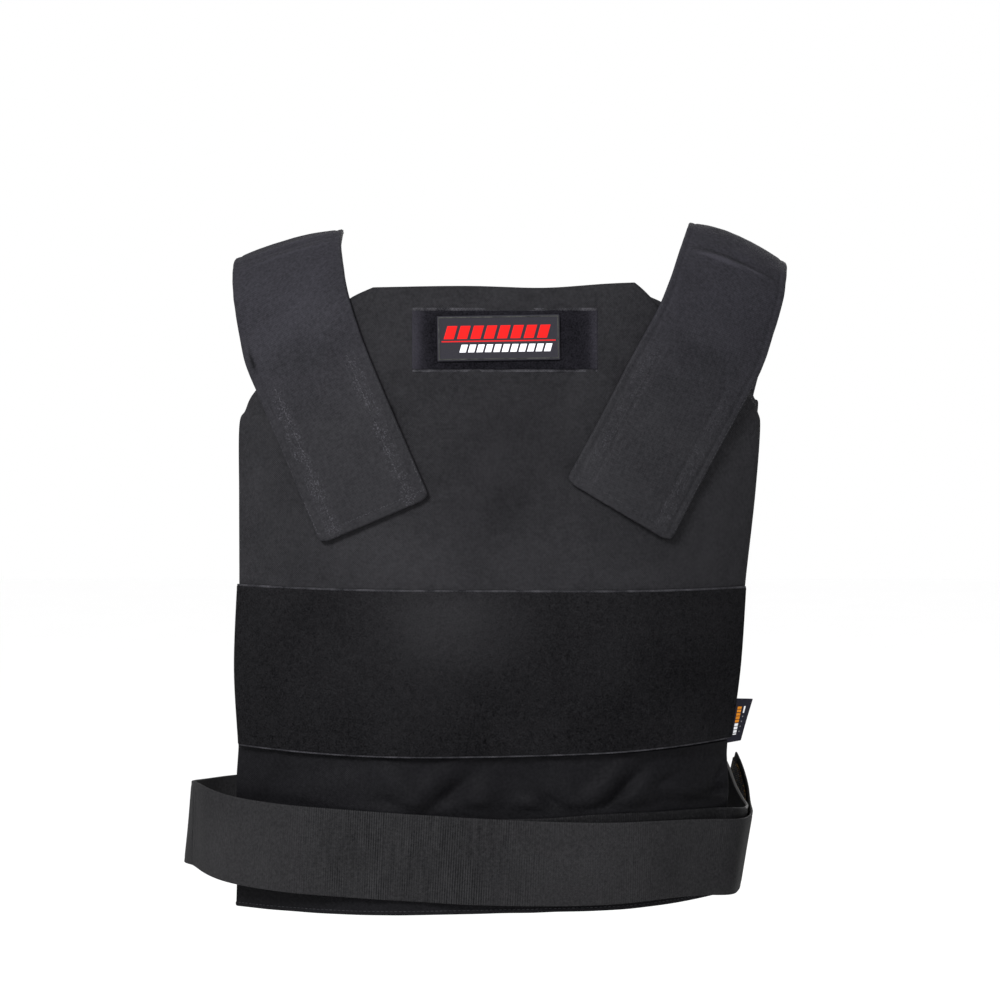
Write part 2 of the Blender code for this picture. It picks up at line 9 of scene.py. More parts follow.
import bmesh
import bpy
import numpy as np
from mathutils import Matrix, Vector


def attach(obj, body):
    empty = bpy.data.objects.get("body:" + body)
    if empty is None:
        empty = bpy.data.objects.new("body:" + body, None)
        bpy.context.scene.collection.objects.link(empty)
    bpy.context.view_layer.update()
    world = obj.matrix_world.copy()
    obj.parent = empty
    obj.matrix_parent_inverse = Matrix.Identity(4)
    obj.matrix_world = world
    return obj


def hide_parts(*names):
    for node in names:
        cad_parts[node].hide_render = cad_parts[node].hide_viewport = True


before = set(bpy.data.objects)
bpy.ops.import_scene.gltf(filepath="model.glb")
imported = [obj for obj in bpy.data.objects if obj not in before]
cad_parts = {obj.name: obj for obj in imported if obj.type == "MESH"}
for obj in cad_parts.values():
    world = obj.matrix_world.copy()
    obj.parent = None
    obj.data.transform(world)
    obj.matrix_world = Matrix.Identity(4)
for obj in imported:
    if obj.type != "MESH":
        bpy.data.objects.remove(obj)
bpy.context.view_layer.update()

MM = 0.001

# Wall thicknesses and clearances
ARMOUR_THICK = 9.0
CARRIER_EDGE_THICK = 3.0
CARRIER_SHOULDER = 13.0
FLAP_THICK = 2.0
STRAP_THICK = 4.0
HOOK_THICK = 1.6
BELT_THICK = 2.4
TAPE_THICK = 1.6
PATCH_THICK = 1.8
LABEL_THICK = 1.0
SEAM_GAP = 0.5

# Flat pieces
FIELD_WIDTH = 144.0
FIELD_HEIGHT = 49.7
FIELD_CENTRE = (-5.5, -82.2)
PATCH_WIDTH = 94.5
PATCH_HEIGHT = 34.0
PATCH_CENTRE = (-10.5, -80.6)
PATCH_TILT = 0.9
BAND_HEIGHT = 127.0
STRAP_WIDTH = 90.0
BELT_WIDTH = 67.0
HOOK_LENGTH = 112.0
HOOK_MARGIN = 3.0
HOOK_END = {"left": -2.4, "right": 1.0}
BELT_HOOK_LENGTH = 58.0

FLAT_HALF_WIDTH = 60.0
BOW_HALF_WIDTH = 205.0
BAND_TOP = -277.0
FLAP_SEAM = -413.0
# Dip of the neck edge: depth, x of its middle, half width, and the level where it starts
NECK_DIP = (3.0, 25.0, 42.0, -62.0)
# The flap's folds as they are drawn, and before it settles over them
FOLD_GAIN = 2.1
SETTLING_FOLD_GAIN = 2.4
FLAP_DROP = 126.0
FLAP_WIDTH = 390.0
HEM_DEPTH = 10.0
HEM_SEAM = 8.0
SEAM_TAPE_THICK = 0.9
SEAM_TAPE_WIDTH = 15
SEAM_TAPE_ENDS = (-214, 172)
SEAM_TAPE_TOP = (-399, -397)
SELVEDGE_SEAM = 0.9
BELT_SEAM = 4.0
LABEL_WIDTH = 21.0
LABEL_HEIGHT = 36.0

# Grids: rows and columns. A coarse grid is the one that the cloth settles on.
FRONT_GRID = (138, 155)
FRONT_COARSE = (62, 70)
BACK_GRID = (136, 136)
BACK_COARSE = (70, 66)
FLAP_GRID = (90, 240)
FLAP_COARSE = (34, 96)
SEAM_TAPE_GRID = (14, 200)
BAND_GRID = (100, 220)
FIELD_GRID = (60, 90)
PATCH_GRID = (78, 190)
LABEL_GRID = (24, 16)
STRAP_GRID = (290, 90)
STRAP_HOOK_GRID = (60, 40)
OUTER_BELT_GRID = (460, 48)
INNER_BELT_GRID = (250, 42)
BELT_HOOK_GRID = (40, 36)
STRAP_CURVE_ROWS = 385
BELT_CURVE_ROWS = 641
SETTLE_FRAMES = 22

# Seeds of the unevenness
FRONT_SEED = 3
BACK_SEED = 8
FLAP_SEED = 21
BAND_SEED = 31
BELT_SEED = 41
STRAP_SEEDS = {"left": 51, "right": 57}

# A wall's rim: how far it bulges as a share of its thickness, its steps, and how far its middle
# is drawn in
Rim = namedtuple("Rim", "bulge steps drawn_in")
SEWN_RIM = Rim(0.45, 6, 0.3)
CLOTH_RIM = Rim(0.5, 4, 0.0)
TAPE_RIM = Rim(0.4, 4, 0.0)
HOOK_RIM = Rim(0.3, 4, 0.0)
PATCH_RIM = Rim(0.5, 5, 0.0)

# Rows of stitches: from stitch to stitch, a stitch's length and width, how far it is sunk, and
# how far its ends stand off the row
Stitch = namedtuple("Stitch", "pitch length width sunk zigzag")
PLAIN_STITCH = Stitch(3.6, 2.7, 0.62, 0.05, 0.0)
BINDING_STITCH = Stitch(4.2, 3.0, 0.62, 0.05, 0.0)
TAPE_STITCH = Stitch(3.0, 2.1, 0.5, 0.05, 0.0)
STRAP_STITCH = Stitch(2.6, 2.2, 0.5, 0.08, 0.6)

# Studio, in metres. Rows of soft lights: name, place, size, power
FLOOR_SIZE = 30.0
FLOOR_LEVEL = -1.5
SOFTBOX_TARGET = (0.0, -0.05, -0.28)
SOFTBOXES = (
    ("key", (-1.35, -2.3, 1.7), 1.0, 210),
    ("front", (0.9, -2.6, 0.4), 0.9, 14),
    ("rear", (0.8, 2.5, 0.5), 1.6, 25),
)
CAMERA_PLACE = (-0.0094, -2.318, -0.090)
CAMERA_DOWNWARDS = 3.044
CAMERA_LENS = 101.54
CAMERA_SENSOR = 36.0

# Rows: z, depth, set back at the left, set back at the right
FRONT_FORM = (
    (-38, -97, 33, 33),
    (-130, -110, 45, 50),
    (-230, -119, 47, 58),
    (-330, -121, 48, 68),
    (-410, -117, 47, 80),
    (-470, -114, 46, 86),
    (-545, -112, 46, 112),
)
BACK_FORM = (
    (-44, 88, -30, -30),
    (-130, 106, -38, -38),
    (-240, 115, -44, -44),
    (-350, 108, -48, -48),
    (-520, 102, -50, -50),
)

# Rows: left x, left z, right x, right z
FRONT_OUTLINE = (
    (-109, -42, 96, -38),
    (-129, -52, 106, -47),
    (-152, -74, 130, -73),
    (-178, -99, 158, -99),
    (-204, -124, 187, -126),
    (-212, -139, 195, -140),
    (-217, -152, 197, -154),
    (-217, -210, 193, -205),
    (-217, -279, 185, -277),
    (-218, -345, 180, -343),
    (-218, -407, 174, -405),
)
BACK_OUTLINE = (
    (-112, -46, 118, -46),
    (-132, -58, 138, -58),
    (-182, -104, 188, -104),
    (-207, -130, 204, -130),
    (-211, -152, 206, -152),
    (-208, -300, 186, -300),
    (-202, -440, 168, -440),
    (-190, -516, 156, -516),
)
FLAP_OUTLINE = (
    (-219, -410, 172, -408),
    (-219, -436, 171, -436),
    (-220, -482, 172, -480),
    (-222, -538, 174, -528),
)
BAND_OUTLINE = (
    (-219, -277, 186, -278),
    (-222, -345, 182, -343),
    (-219, -412, 175, -405),
)

FOOT_MIDDLE = (-21.5, -408.0)
FOOT_HALF_WIDTH = 196.0
FOOT_RISE = 5.5
FOLD_FOOT = -453.0
FOLD_FADE = 10.0

# Soft folds: place on the piece's flat cut, direction, half length, half width, height
Fold = namedtuple("Fold", "a b angle half_length half_width height")
FLAP_FOLDS = (
    Fold(-98, -446, -25, 12, 6, -2.0),
    Fold(-86, -434, -38, 24, 10, 3.2),
    Fold(-75, -446, 10, 8, 5, 2.0),
    Fold(-47, -438, 38, 22, 6, -2.6),
    Fold(-60, -428, 38, 22, 8, 1.8),
    Fold(-24, -440, 25, 16, 11, 3.0),
    Fold(14, -446, 5, 12, 6, 2.4),
    Fold(31, -446, -41, 13, 5, -2.6),
    Fold(44, -434, -50, 16, 9, 1.8),
    Fold(73, -431, 42, 24, 7, 3.0),
    Fold(82, -439, 42, 24, 5, -2.8),
    Fold(100, -438, 38, 20, 9, 2.6),
    Fold(119, -430, 20, 11, 4, -1.6),
    Fold(134, -437, -8, 20, 7, 2.2),
    Fold(158, -443, -14, 18, 4, 1.8),
    Fold(164, -428, 60, 12, 4, -1.6),
    Fold(-150, -436, 12, 40, 9, 1.2),
    Fold(-196, -428, 70, 18, 6, 1.0),
)
PANEL_FOLDS = (
    Fold(165, -251, -25, 16, 5, 1.3),
    Fold(172, -261, -30, 12, 4, -0.9),
    Fold(178, -232, -50, 14, 5, 0.8),
    Fold(-192, -258, 25, 16, 6, 0.9),
    Fold(-205, -244, 60, 14, 5, 0.7),
    Fold(-60, -262, 6, 60, 9, 0.5),
    Fold(95, -266, -5, 40, 8, 0.5),
)
LEFT_CREASES = (
    Fold(236, 50, 90, 30, 4.0, 0.9),
    Fold(246, 48, 90, 34, 3.5, -0.9),
    Fold(254, 50, 88, 34, 3.5, 1.1),
    Fold(274, 45, 92, 36, 4, 0.9),
    Fold(290, 30, 95, 22, 3.5, 0.6),
    Fold(154, 4, 0, 6, 1.8, -1.0),
    Fold(165, 30, 70, 34, 8, 0.6),
    Fold(140, 60, 110, 26, 7, -0.4),
)
RIGHT_CREASES = (
    Fold(220, 47, 86, 26, 3.6, 1.5),
    Fold(228, 44, 87, 28, 4.0, -0.9),
    Fold(236, 34, 86, 24, 4.0, 0.5),
    Fold(228, 58, 78, 14, 4.5, 0.5),
    Fold(268, 40, 93, 30, 5, 0.4),
    Fold(160, 34, 108, 34, 8, 0.6),
    Fold(147, 62, 75, 22, 6, -0.5),
)
BELT_CREASES = (
    Fold(206, 26, 92, 24, 1.3, -0.9),
    Fold(211, 22, 88, 22, 2.6, 0.5),
    Fold(690, 22, 80, 20, 6.0, 0.25),
    Fold(660, 40, 100, 20, 8.0, 0.25),
    Fold(628, 30, 85, 26, 9.0, 0.3),
)
# Painted light and shade: paler and darker places, in the same columns, with the height as a share of the
# shade
# Left strap: painted shade in the dent at the armhole, painted highlights along the creases over the
# shoulder, and broad patches of painted light and shade
LEFT_STRAP_PAINTED_SHADING = (
    Fold(154, 4.5, 0, 7, 2.2, -0.7),
    Fold(168, 34, 80, 40, 12, 0.10),
    Fold(140, 52, 95, 30, 12, -0.10),
    Fold(235, 50, 89, 34, 1.3, 0.30),
    Fold(244, 46, 91, 36, 1.3, 0.34),
    Fold(253, 50, 89, 34, 1.6, 0.30),
)
# Right strap: a painted highlight along the crease at the shoulder top with painted shade beside it, and
# broad patches of painted light and shade
RIGHT_STRAP_PAINTED_SHADING = (
    Fold(220, 56, 87, 16, 1.8, 0.85),
    Fold(221, 28, 85, 9, 1.6, 0.75),
    Fold(226, 48, 88, 30, 2.4, -0.35),
    Fold(160, 34, 100, 40, 12, 0.10),
    Fold(138, 48, 95, 30, 12, -0.10),
)
# Front panel: a painted highlight, a light's soft reflection, low on its middle left, and painted shade
# in its middle and upper right
PANEL_PAINTED_SHADING = (
    Fold(-66, -256, 0, 62, 30, 0.26),
    Fold(-14, -222, 62, 46, 20, -0.16),
    Fold(66, -140, -20, 90, 70, -0.07),
    Fold(-6, -168, 90, 130, 120, -0.12),
)
# Belly band: a painted highlight, a light's soft reflection, near the top of its middle left
BAND_PAINTED_HIGHLIGHT = (
    Fold(-54, 26, 0, 50, 40, 0.38),
    Fold(-54, 22, 0, 120, 40, 0.10),
)
# Chest tape: painted light at both ends and along its top, and painted shade around the patch
FIELD_PAINTED_SHADING = (
    Fold(0, 26, 90, 40, 7, 0.75),
    Fold(143, 26, 90, 40, 5, 0.50),
    Fold(72, 5, 0, 70, 5, 0.14),
    Fold(72, 26, 0, 52, 30, -0.06),
)
# Outer belt: painted shade in the crease at its left turn and where it turns away at its right end, and
# broad patches of painted light and shade
BELT_PAINTED_SHADING = (
    Fold(262, 46, 0, 44, 30, 0.16),
    Fold(206, 27, 92, 26, 1.2, -0.5),
    Fold(372, 24, 90, 36, 26, -0.12),
    Fold(458, 32, 90, 50, 50, -0.12),
    Fold(560, 26, 0, 50, 22, 0.06),
    Fold(628, 44, 90, 34, 12, -0.07),
    Fold(690, 32, 90, 70, 26, -0.14),
    Fold(726, 32, 90, 70, 16, -0.42),
)
# Inner belt: near-black painted shade where it runs in shadow behind the flap's edge, and painted shade
# along its top edge
INNER_BELT_PAINTED_SHADE = (
    Fold(345, 32, 90, 80, 80, -1.0),
    Fold(120, 5, 0, 150, 14, -0.45),
)
# Flap: painted shadow in the folds at its right edge and in a line just above the belt, and a little
# painted light at its upper left
FLAP_PAINTED_SHADING = (
    Fold(-95, -425, 0, 55, 9, 0.10),
    Fold(177, -436, 78, 20, 3.0, -0.5),
    Fold(155, -443, 12, 26, 4.0, -0.35),
    Fold(60, -448, 4, 90, 4.0, -0.25),
)
# Dark and light shade of each cloth, and single shades
CARRIER_SHADES = ((0.0042, 0.0042, 0.0048), (0.0165, 0.0162, 0.0180))
# The flap is the carrier's nylon, painted much darker as shade for where it hangs under the band and belt
FLAP_SHADOWED_SHADES = ((0.0006, 0.0006, 0.0009), (0.0062, 0.0061, 0.0071))
STRAP_SHADES = ((0.0046, 0.0046, 0.0054), (0.0182, 0.0179, 0.0200))
BAND_SHADES = ((0.0008, 0.0008, 0.0010), (0.0165, 0.0162, 0.0177))
FIELD_SHADES = ((0.0008, 0.0008, 0.0012), (0.0170, 0.0162, 0.0205))
SELVEDGE_SHADES = ((0.006, 0.006, 0.007), (0.043, 0.042, 0.047))
ELASTIC_SHADES = ((0.0036, 0.0036, 0.0040), (0.0186, 0.0183, 0.0194))
HOOK_SHADES = ((0.002, 0.0015, 0.003), (0.017, 0.014, 0.018))
TWILL_SHADES = ((0.008, 0.008, 0.010), (0.020, 0.019, 0.024))
RED_SHADES = ((0.30, 0.003, 0.003), (0.58, 0.010, 0.009))
WHITE_SHADES = ((0.42, 0.42, 0.44), (0.66, 0.66, 0.68))
PATCH_EDGE_SHADES = ((0.010, 0.011, 0.010), (0.060, 0.062, 0.054))
LABEL_SHADES = ((0.004, 0.004, 0.007), (0.013, 0.012, 0.020))
# Painted light: a paler shade for a strap's upper part, towards the shoulder, where light falls from
# above
STRAP_UPPER_PAINTED_LIGHT = (0.0200, 0.0193, 0.0240)
BROKEN_FIBRE = (0.046, 0.045, 0.052)
# Pale line along part of the inner belt's top edge
PALE_EDGE_SHADE = (0.085, 0.083, 0.083)
HOOK_SPECK = (0.085, 0.050, 0.012)
LABEL_ORANGE = (0.50, 0.17, 0.008)
LABEL_WHITE = (0.60, 0.60, 0.62)
CLOTH_SHEEN = 0.03
PILE_SHEEN = 0.015
FRAYED_FROM_EDGE = 12.5
THREAD_SHADES = ((0.010, 0.010, 0.012), (0.038, 0.037, 0.042))
DARK_THREAD_SHADES = ((0.008, 0.008, 0.010), (0.018, 0.018, 0.020))
# Where the elastic is drawn tight, so that its ribs show: middle along, half length, blur
DRAWN_TIGHT = (425.0, 55.0, 60.0)

STRAP_SEAMS = (4.0, 16.8)
STRAP_SEAM_LENGTH = 128.0
STRAP_END_SEAM = 6.0
STRAP_END_TURN = 34.0
STRAP_EDGE_START = 37.0
STRAP_BOX = 58.0
STRAP_CORNER = 4.0
# How far a strap is lifted over the shoulder, and its share of the table's crown
SHOULDER = {"left": (3.0, 0.45), "right": (4.1, 0.9)}

# Rows: outer x, y, z, inner x, y, z, hug, crown
LEFT_STRAP = (
    (-149, -105, -240, -66, -124, -204, 1, 0),
    (-163, -97, -208, -80, -121, -172, 1, 0),
    (-177, -87, -176, -94, -116, -140, 1, 0),
    (-190, -80, -147, -107, -111, -110, 1, 0),
    (-202, -73, -120, -118, -105, -83, 1, 2),
    (-211, -67, -98, -126, -100, -60, 0.5, 6),
    (-216, -62, -78, -131, -91, -43, 0, 8),
    (-220, -54, -57, -135, -74, -26, 0, 7),
    (-223, -42, -38, -138, -51, -12, 0, 6),
    (-224, -22, -25, -139, -26, 0, 0, 6),
    (-224, 2, -20, -139, 2, 4, 0, 6),
    (-224, 26, -26, -142, 30, -1, 0, 6),
    (-223, 46, -41, -145, 54, -14, 0, 6),
    (-219, 63, -62, -144, 75, -34, 0, 6),
    (-213, 77, -88, -139, 92, -62, 0.3, 5),
    (-205, 84, -118, -130, 102, -95, 1, 0),
    (-198, 92, -152, -122, 108, -130, 1, 0),
    (-193, 96, -182, -117, 112, -160, 1, 0),
)
RIGHT_STRAP = (
    (123, -116, -238, 44, -124, -191, 1, 0),
    (139, -108, -208, 61, -121, -160, 1, 0),
    (155, -99, -179, 77, -117, -130, 1, 0),
    (171, -89, -151, 92, -112, -101, 1, 0),
    (185, -79, -126, 106, -107, -76, 1, 2),
    (198, -70, -103, 117, -99, -56, 0.5, 6),
    (207, -63, -78, 125, -87, -38, 0, 7),
    (215, -53, -54, 132, -70, -22, 0, 7),
    (219, -40, -39, 138, -48, -9, 0, 6),
    (222, -20, -28, 144, -24, 4, 0, 6),
    (223, 2, -24, 147, 2, 8, 0, 6),
    (224, 24, -28, 151, 28, 2, 0, 6),
    (224, 44, -42, 153, 52, -12, 0, 6),
    (221, 62, -62, 150, 74, -32, 0, 6),
    (214, 78, -88, 144, 92, -60, 0.3, 5),
    (206, 84, -118, 135, 102, -93, 1, 0),
    (199, 92, -152, 126, 108, -128, 1, 0),
    (194, 96, -182, 119, 112, -159, 1, 0),
)

# Rows: top edge x, y, z, height, lean, front hug, back hug
OUTER_BELT = (
    (-128, 98, -448, 67, 0, 0, 1),
    (-168, 82, -449, 67, 0, 0, 1),
    (-208, 70, -450, 67, 0, 0, 0),
    (-238, 52, -450, 67, 2, 0, 0),
    (-255, 28, -449, 67, 5, 0, 0),
    (-263, -2, -446, 66, 6, 0, 0),
    (-257, -30, -443, 67, 3, 0, 0),
    (-241, -60, -445, 68, 2, 0, 0),
    (-218, -80, -448, 68, 2, 0, 0),
    (-178, -97, -451, 68, 2, 0, 0),
    (-130, -109, -453, 68, 1, 0.1, 0),
    (-83, -118, -455, 68, 0, 0.7, 0),
    (-27, -120, -458, 67.5, 0, 1, 0),
    (27, -120, -460.5, 66, 0, 1, 0),
    (73, -119, -461.5, 64, 0, 1, 0),
    (120, -106, -462, 62, -4, 1, 0),
    (156, -90, -464, 61, -6, 0.5, 0),
    (182, -73, -466, 61, -7, 0, 0),
    (192, -50, -467.5, 61, -9, 0, 0),
    (197, -22, -467.5, 61, -10, 0, 0),
    (197.5, 5, -464, 61, -9, 0, 0),
    (197.5, 26, -453, 61, -6, 0, 0),
    (195, 48, -441, 61, -5, 0, 0),
    (191.5, 66, -432, 61, -4, 0, 0),
)
INNER_BELT = (
    (-27, -118, -459.5, 62, 0, 1, 0),
    (27, -118, -458.3, 62, 0, 1, 0),
    (73, -117, -455, 63, 0, 1, 0),
    (120, -104, -455, 63, -4, 1, 0),
    (156, -84, -456, 63, -6, 1, 0),
    (179, -67.5, -458, 63, -7, 0, 0),
    (189, -46, -461, 63, -9, 0, 0),
    (193.2, -21, -462.5, 63, -10, 0, 0),
    (191.8, 4, -461, 63, -9, 0, 0),
    (187.5, 26, -453, 63, -6, 0, 0),
    (184, 48, -442, 63, -4, 0, 0),
    (180, 68, -435, 63, -2, 0, 0),
    (171, 86, -430, 63, 0, 0, 0),
    (152, 92, -427, 63, 0, 0, 1),
    (122, 99, -424, 63, 0, 0, 1),
)
LABEL_CORNERS = (
    (175, -69.2, -369),
    (194, -56, -371),
    (184.5, -57, -404),
    (171, -66.5, -405),
)


def mix(low, high, share):
    """Linear blend of two numbers or arrays."""
    return low + (high - low) * share


def edge_gap(place, width):
    """Distance to the nearer of a strip's two edges."""
    return np.minimum(place, width - place)


def smooth_step(share):
    """Ease from 0 to 1."""
    share = np.clip(share, 0.0, 1.0)
    return share * share * (3.0 - 2.0 * share)


def curve_rows(table, places):
    """Read a table at fractional row numbers, on a smooth curve through its rows."""
    table = np.asarray(table, float)
    last = len(table) - 1
    index = np.clip(places.astype(int), 0, last - 1)
    t = (places - index)[:, None]
    before = table[np.maximum(index - 1, 0)]
    here = table[index]
    there = table[index + 1]
    after = table[np.minimum(index + 2, last)]
    t2 = t * t
    t3 = t2 * t
    value = (2 * t3 - 3 * t2 + 1) * here + (t3 - 2 * t2 + t) * (there - before) / 2
    return value + (-2 * t3 + 3 * t2) * there + (t3 - t2) * (after - here) / 2


def soften(values, passes):
    """Average each row of a table with its neighbours, with the ends kept."""
    values = values.copy()
    for _ in range(passes):
        values[1:-1] = values[1:-1] / 2 + (values[:-2] + values[2:]) / 4
    return values


def even_rows(table, count, point_of, passes):
    """Sample a table at places evenly spaced along its curve, and smooth it a little."""
    dense = curve_rows(table, np.linspace(0, len(table) - 1, 24 * (len(table) - 1) + 1))
    steps = np.linalg.norm(np.diff(point_of(dense), axis=0), axis=1)
    length = np.concatenate([[0.0], np.cumsum(steps)])
    targets = np.linspace(0, length[-1], count)
    picked = np.stack([np.interp(targets, length, dense[:, k]) for k in range(dense.shape[1])], axis=1)
    return soften(picked, passes), length[-1]


def form_depth(form, x, z):
    """Depth of the chest's or the back's middle layer, smooth over the form table's rows."""
    form = np.asarray(form, float)
    level = -form[:, 0]
    depth = 0.0
    set_back = 0.0
    for step, weight in ((-24, 1), (-12, 2), (0, 3), (12, 2), (24, 1)):
        at = -(z + step)
        depth = depth + np.interp(at, level, form[:, 1]) * weight / 9
        left = np.interp(at, level, form[:, 2])
        right = np.interp(at, level, form[:, 3])
        set_back = set_back + np.where(x < 0, left, right) * weight / 9
    bow = np.maximum(0.0, np.abs(x) - FLAT_HALF_WIDTH) / (BOW_HALF_WIDTH - FLAT_HALF_WIDTH)
    return depth + set_back * bow * bow


def lying_depth(form, x, z, lift):
    """Depth of a layer that lies parallel to the form, at a distance measured square to it."""
    slope_x = (form_depth(form, x + 1, z) - form_depth(form, x - 1, z)) / 2
    slope_z = (form_depth(form, x, z + 1) - form_depth(form, x, z - 1)) / 2
    return form_depth(form, x, z) + lift * np.sqrt(1 + slope_x ** 2 + slope_z ** 2)


def foot_rise(x, z):
    """How far the panel's foot, and what is sewn there, rises towards both sides."""
    away = (x - FOOT_MIDDLE[0]) / FOOT_HALF_WIDTH
    return FOOT_RISE * away ** 2 * np.exp(-((z - FOOT_MIDDLE[1]) / 38.0) ** 2)


def cloth_noise(x, z, size, seed):
    """Smooth relief about -1 to 1 high, whose bumps are about one size across."""
    chance = np.random.default_rng(seed)
    total = 0.0
    for _ in range(14):
        turn, phase = chance.uniform(0, 2 * math.pi, 2)
        wave = 2 * math.pi / (size * chance.uniform(0.8, 1.7))
        total = total + np.sin((x * math.cos(turn) + z * math.sin(turn)) * wave + phase)
    return total / 5.0


def folds_height(folds, a, b):
    """Height of soft folds at places on the flat cut."""
    total = 0.0
    for fold in folds:
        turn = math.radians(fold.angle)
        along = (a - fold.a) * math.cos(turn) + (b - fold.b) * math.sin(turn)
        across = -(a - fold.a) * math.sin(turn) + (b - fold.b) * math.cos(turn)
        spread = (along / fold.half_length) ** 2 + (across / fold.half_width) ** 2
        total = total + fold.height * np.exp(-spread)
    return total


def groove(away, half_width):
    """1 on a seam, falling off to both sides."""
    return np.exp(-(away / half_width) ** 2)


def grid_normals(grid):
    """Unit normals of a grid of points; they face the side that the wall's front face is on."""
    down = np.gradient(grid, axis=0)
    across = np.gradient(grid, axis=1)
    normal = np.cross(across, down)
    return normal / np.linalg.norm(normal, axis=2, keepdims=True)


def grid_quads(rows, columns):
    """Four-cornered faces of a grid of points."""
    index = np.arange(rows * columns).reshape(rows, columns)
    corners = [index[:-1, :-1], index[1:, :-1], index[1:, 1:], index[:-1, 1:]]
    return np.stack(corners, axis=-1).reshape(-1, 4)


def border_places(rows, columns):
    """Grid places around the edge, in order."""
    top = [(0, j) for j in range(columns)]
    right = [(i, columns - 1) for i in range(1, rows)]
    bottom = [(rows - 1, j) for j in range(columns - 2, -1, -1)]
    left = [(i, 0) for i in range(rows - 2, 0, -1)]
    return np.array(top + right + bottom + left)


def rim_directions(grid, normals, places):
    """Unit directions that point out of the grid's edge, square to its normals."""
    edge = grid[places[:, 0], places[:, 1]]
    along = np.roll(edge, -1, axis=0) - np.roll(edge, 1, axis=0)
    out = np.cross(along, normals[places[:, 0], places[:, 1]])
    inside = grid[grid.shape[0] // 2, grid.shape[1] // 2]
    inner_row = np.clip(places[:, 0], 1, grid.shape[0] - 2)
    inner_column = np.clip(places[:, 1], 1, grid.shape[1] - 2)
    inner = grid[inner_row, inner_column]
    wrong = ((edge - inner) * out).sum(axis=1) < 0
    out[wrong] *= -1
    length = np.linalg.norm(out, axis=1, keepdims=True)
    return np.where(length > 1e-9, out / np.maximum(length, 1e-9), edge - inside)


def distance_to_rim(grid):
    """How far each grid point is from the grid's edge, in millimetres."""
    places = border_places(*grid.shape[:2])
    edge = grid[places[:, 0], places[:, 1]]
    best = np.full(grid.shape[:2], 1e9)
    for row in range(grid.shape[0]):
        gaps = grid[row][:, None, :] - edge[None, :, :]
        best[row] = np.sqrt((gaps ** 2).sum(axis=2).min(axis=1))
    return best


def finish_mesh(name, points, faces, material, corner_uv=None):
    """Make a piece of the vest from points in millimetres."""
    mesh = bpy.data.meshes.new(name)
    mesh.from_pydata((np.asarray(points) * MM).tolist(), [], faces)
    if corner_uv is not None:
        order = np.empty(len(mesh.loops), dtype=np.int32)
        mesh.loops.foreach_get("vertex_index", order)
        layer = mesh.uv_layers.new(name="cut")
        layer.data.foreach_set("uv", (np.asarray(corner_uv)[order] * MM).astype(np.float32).ravel())
    mesh.shade_smooth()
    mesh.materials.append(material)
    piece = bpy.data.objects.new(name, mesh)
    bpy.context.scene.collection.objects.link(piece)
    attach(piece, "root")
    return piece


def wall(name, grid, cut, thick, material, rim):
    """A closed cloth wall from a grid of middle-layer points, with their places on the flat cut."""
    rows, columns = grid.shape[:2]
    normals = grid_normals(grid)
    half = np.broadcast_to(np.asarray(thick, float), (rows, columns))[..., None] / 2
    places = border_places(rows, columns)
    out = rim_directions(grid, normals, places)
    edge = grid[places[:, 0], places[:, 1]]
    edge_normal = normals[places[:, 0], places[:, 1]]
    edge_half = half[places[:, 0], places[:, 1]]
    points = [(grid + normals * half).reshape(-1, 3), (grid - normals * half).reshape(-1, 3)]
    flat = cut.reshape(-1, 2)
    cuts = [flat, flat]
    for step in range(1, rim.steps):
        angle = math.pi * step / rim.steps
        dent = 1.0 - rim.drawn_in * math.exp(-((angle - math.pi / 2) / 0.3) ** 2)
        side = edge_normal * edge_half * math.cos(angle)
        points.append(edge + side + out * edge_half * 2 * rim.bulge * math.sin(angle) * dent)
        cuts.append(cut[places[:, 0], places[:, 1]])
    quads = grid_quads(rows, columns)
    faces = [quads, quads[:, ::-1] + rows * columns]
    border = places[:, 0] * columns + places[:, 1]
    count = len(border)
    start = 2 * rows * columns
    loops = [border]
    loops += [start + count * k + np.arange(count) for k in range(rim.steps - 1)]
    loops.append(border + rows * columns)
    for one, two in zip(loops, loops[1:]):
        faces.append(np.stack([one, np.roll(one, -1), np.roll(two, -1), two], axis=-1))
    faces = np.concatenate(faces).tolist()
    piece = finish_mesh(name, np.concatenate(points), faces, material, np.concatenate(cuts))
    shape = bmesh.new()
    shape.from_mesh(piece.data)
    bmesh.ops.recalc_face_normals(shape, faces=shape.faces)
    shape.to_mesh(piece.data)
    shape.free()
    return piece


Face = namedtuple("Face", "points normals first second")


def make_face(grid, thick, first, second, side=1.0):
    """The front or back surface of a wall, with the cut's places along its rows and columns."""
    normals = grid_normals(grid) * side
    half = np.broadcast_to(np.asarray(thick, float), grid.shape[:2])[..., None] / 2
    return Face(grid + normals * half, normals, first, second)


def on_face(face, first, second):
    """Points and normals at places on a face."""
    i = np.interp(first, face.first, np.arange(len(face.first)))
    j = np.interp(second, face.second, np.arange(len(face.second)))
    i0 = np.minimum(i.astype(int), len(face.first) - 2)
    j0 = np.minimum(j.astype(int), len(face.second) - 2)
    u = (i - i0)[:, None]
    v = (j - j0)[:, None]
    found = []
    for table in (face.points, face.normals):
        upper = mix(table[i0, j0], table[i0, j0 + 1], v)
        lower = mix(table[i0 + 1, j0], table[i0 + 1, j0 + 1], v)
        found.append(mix(upper, lower, u))
    return found


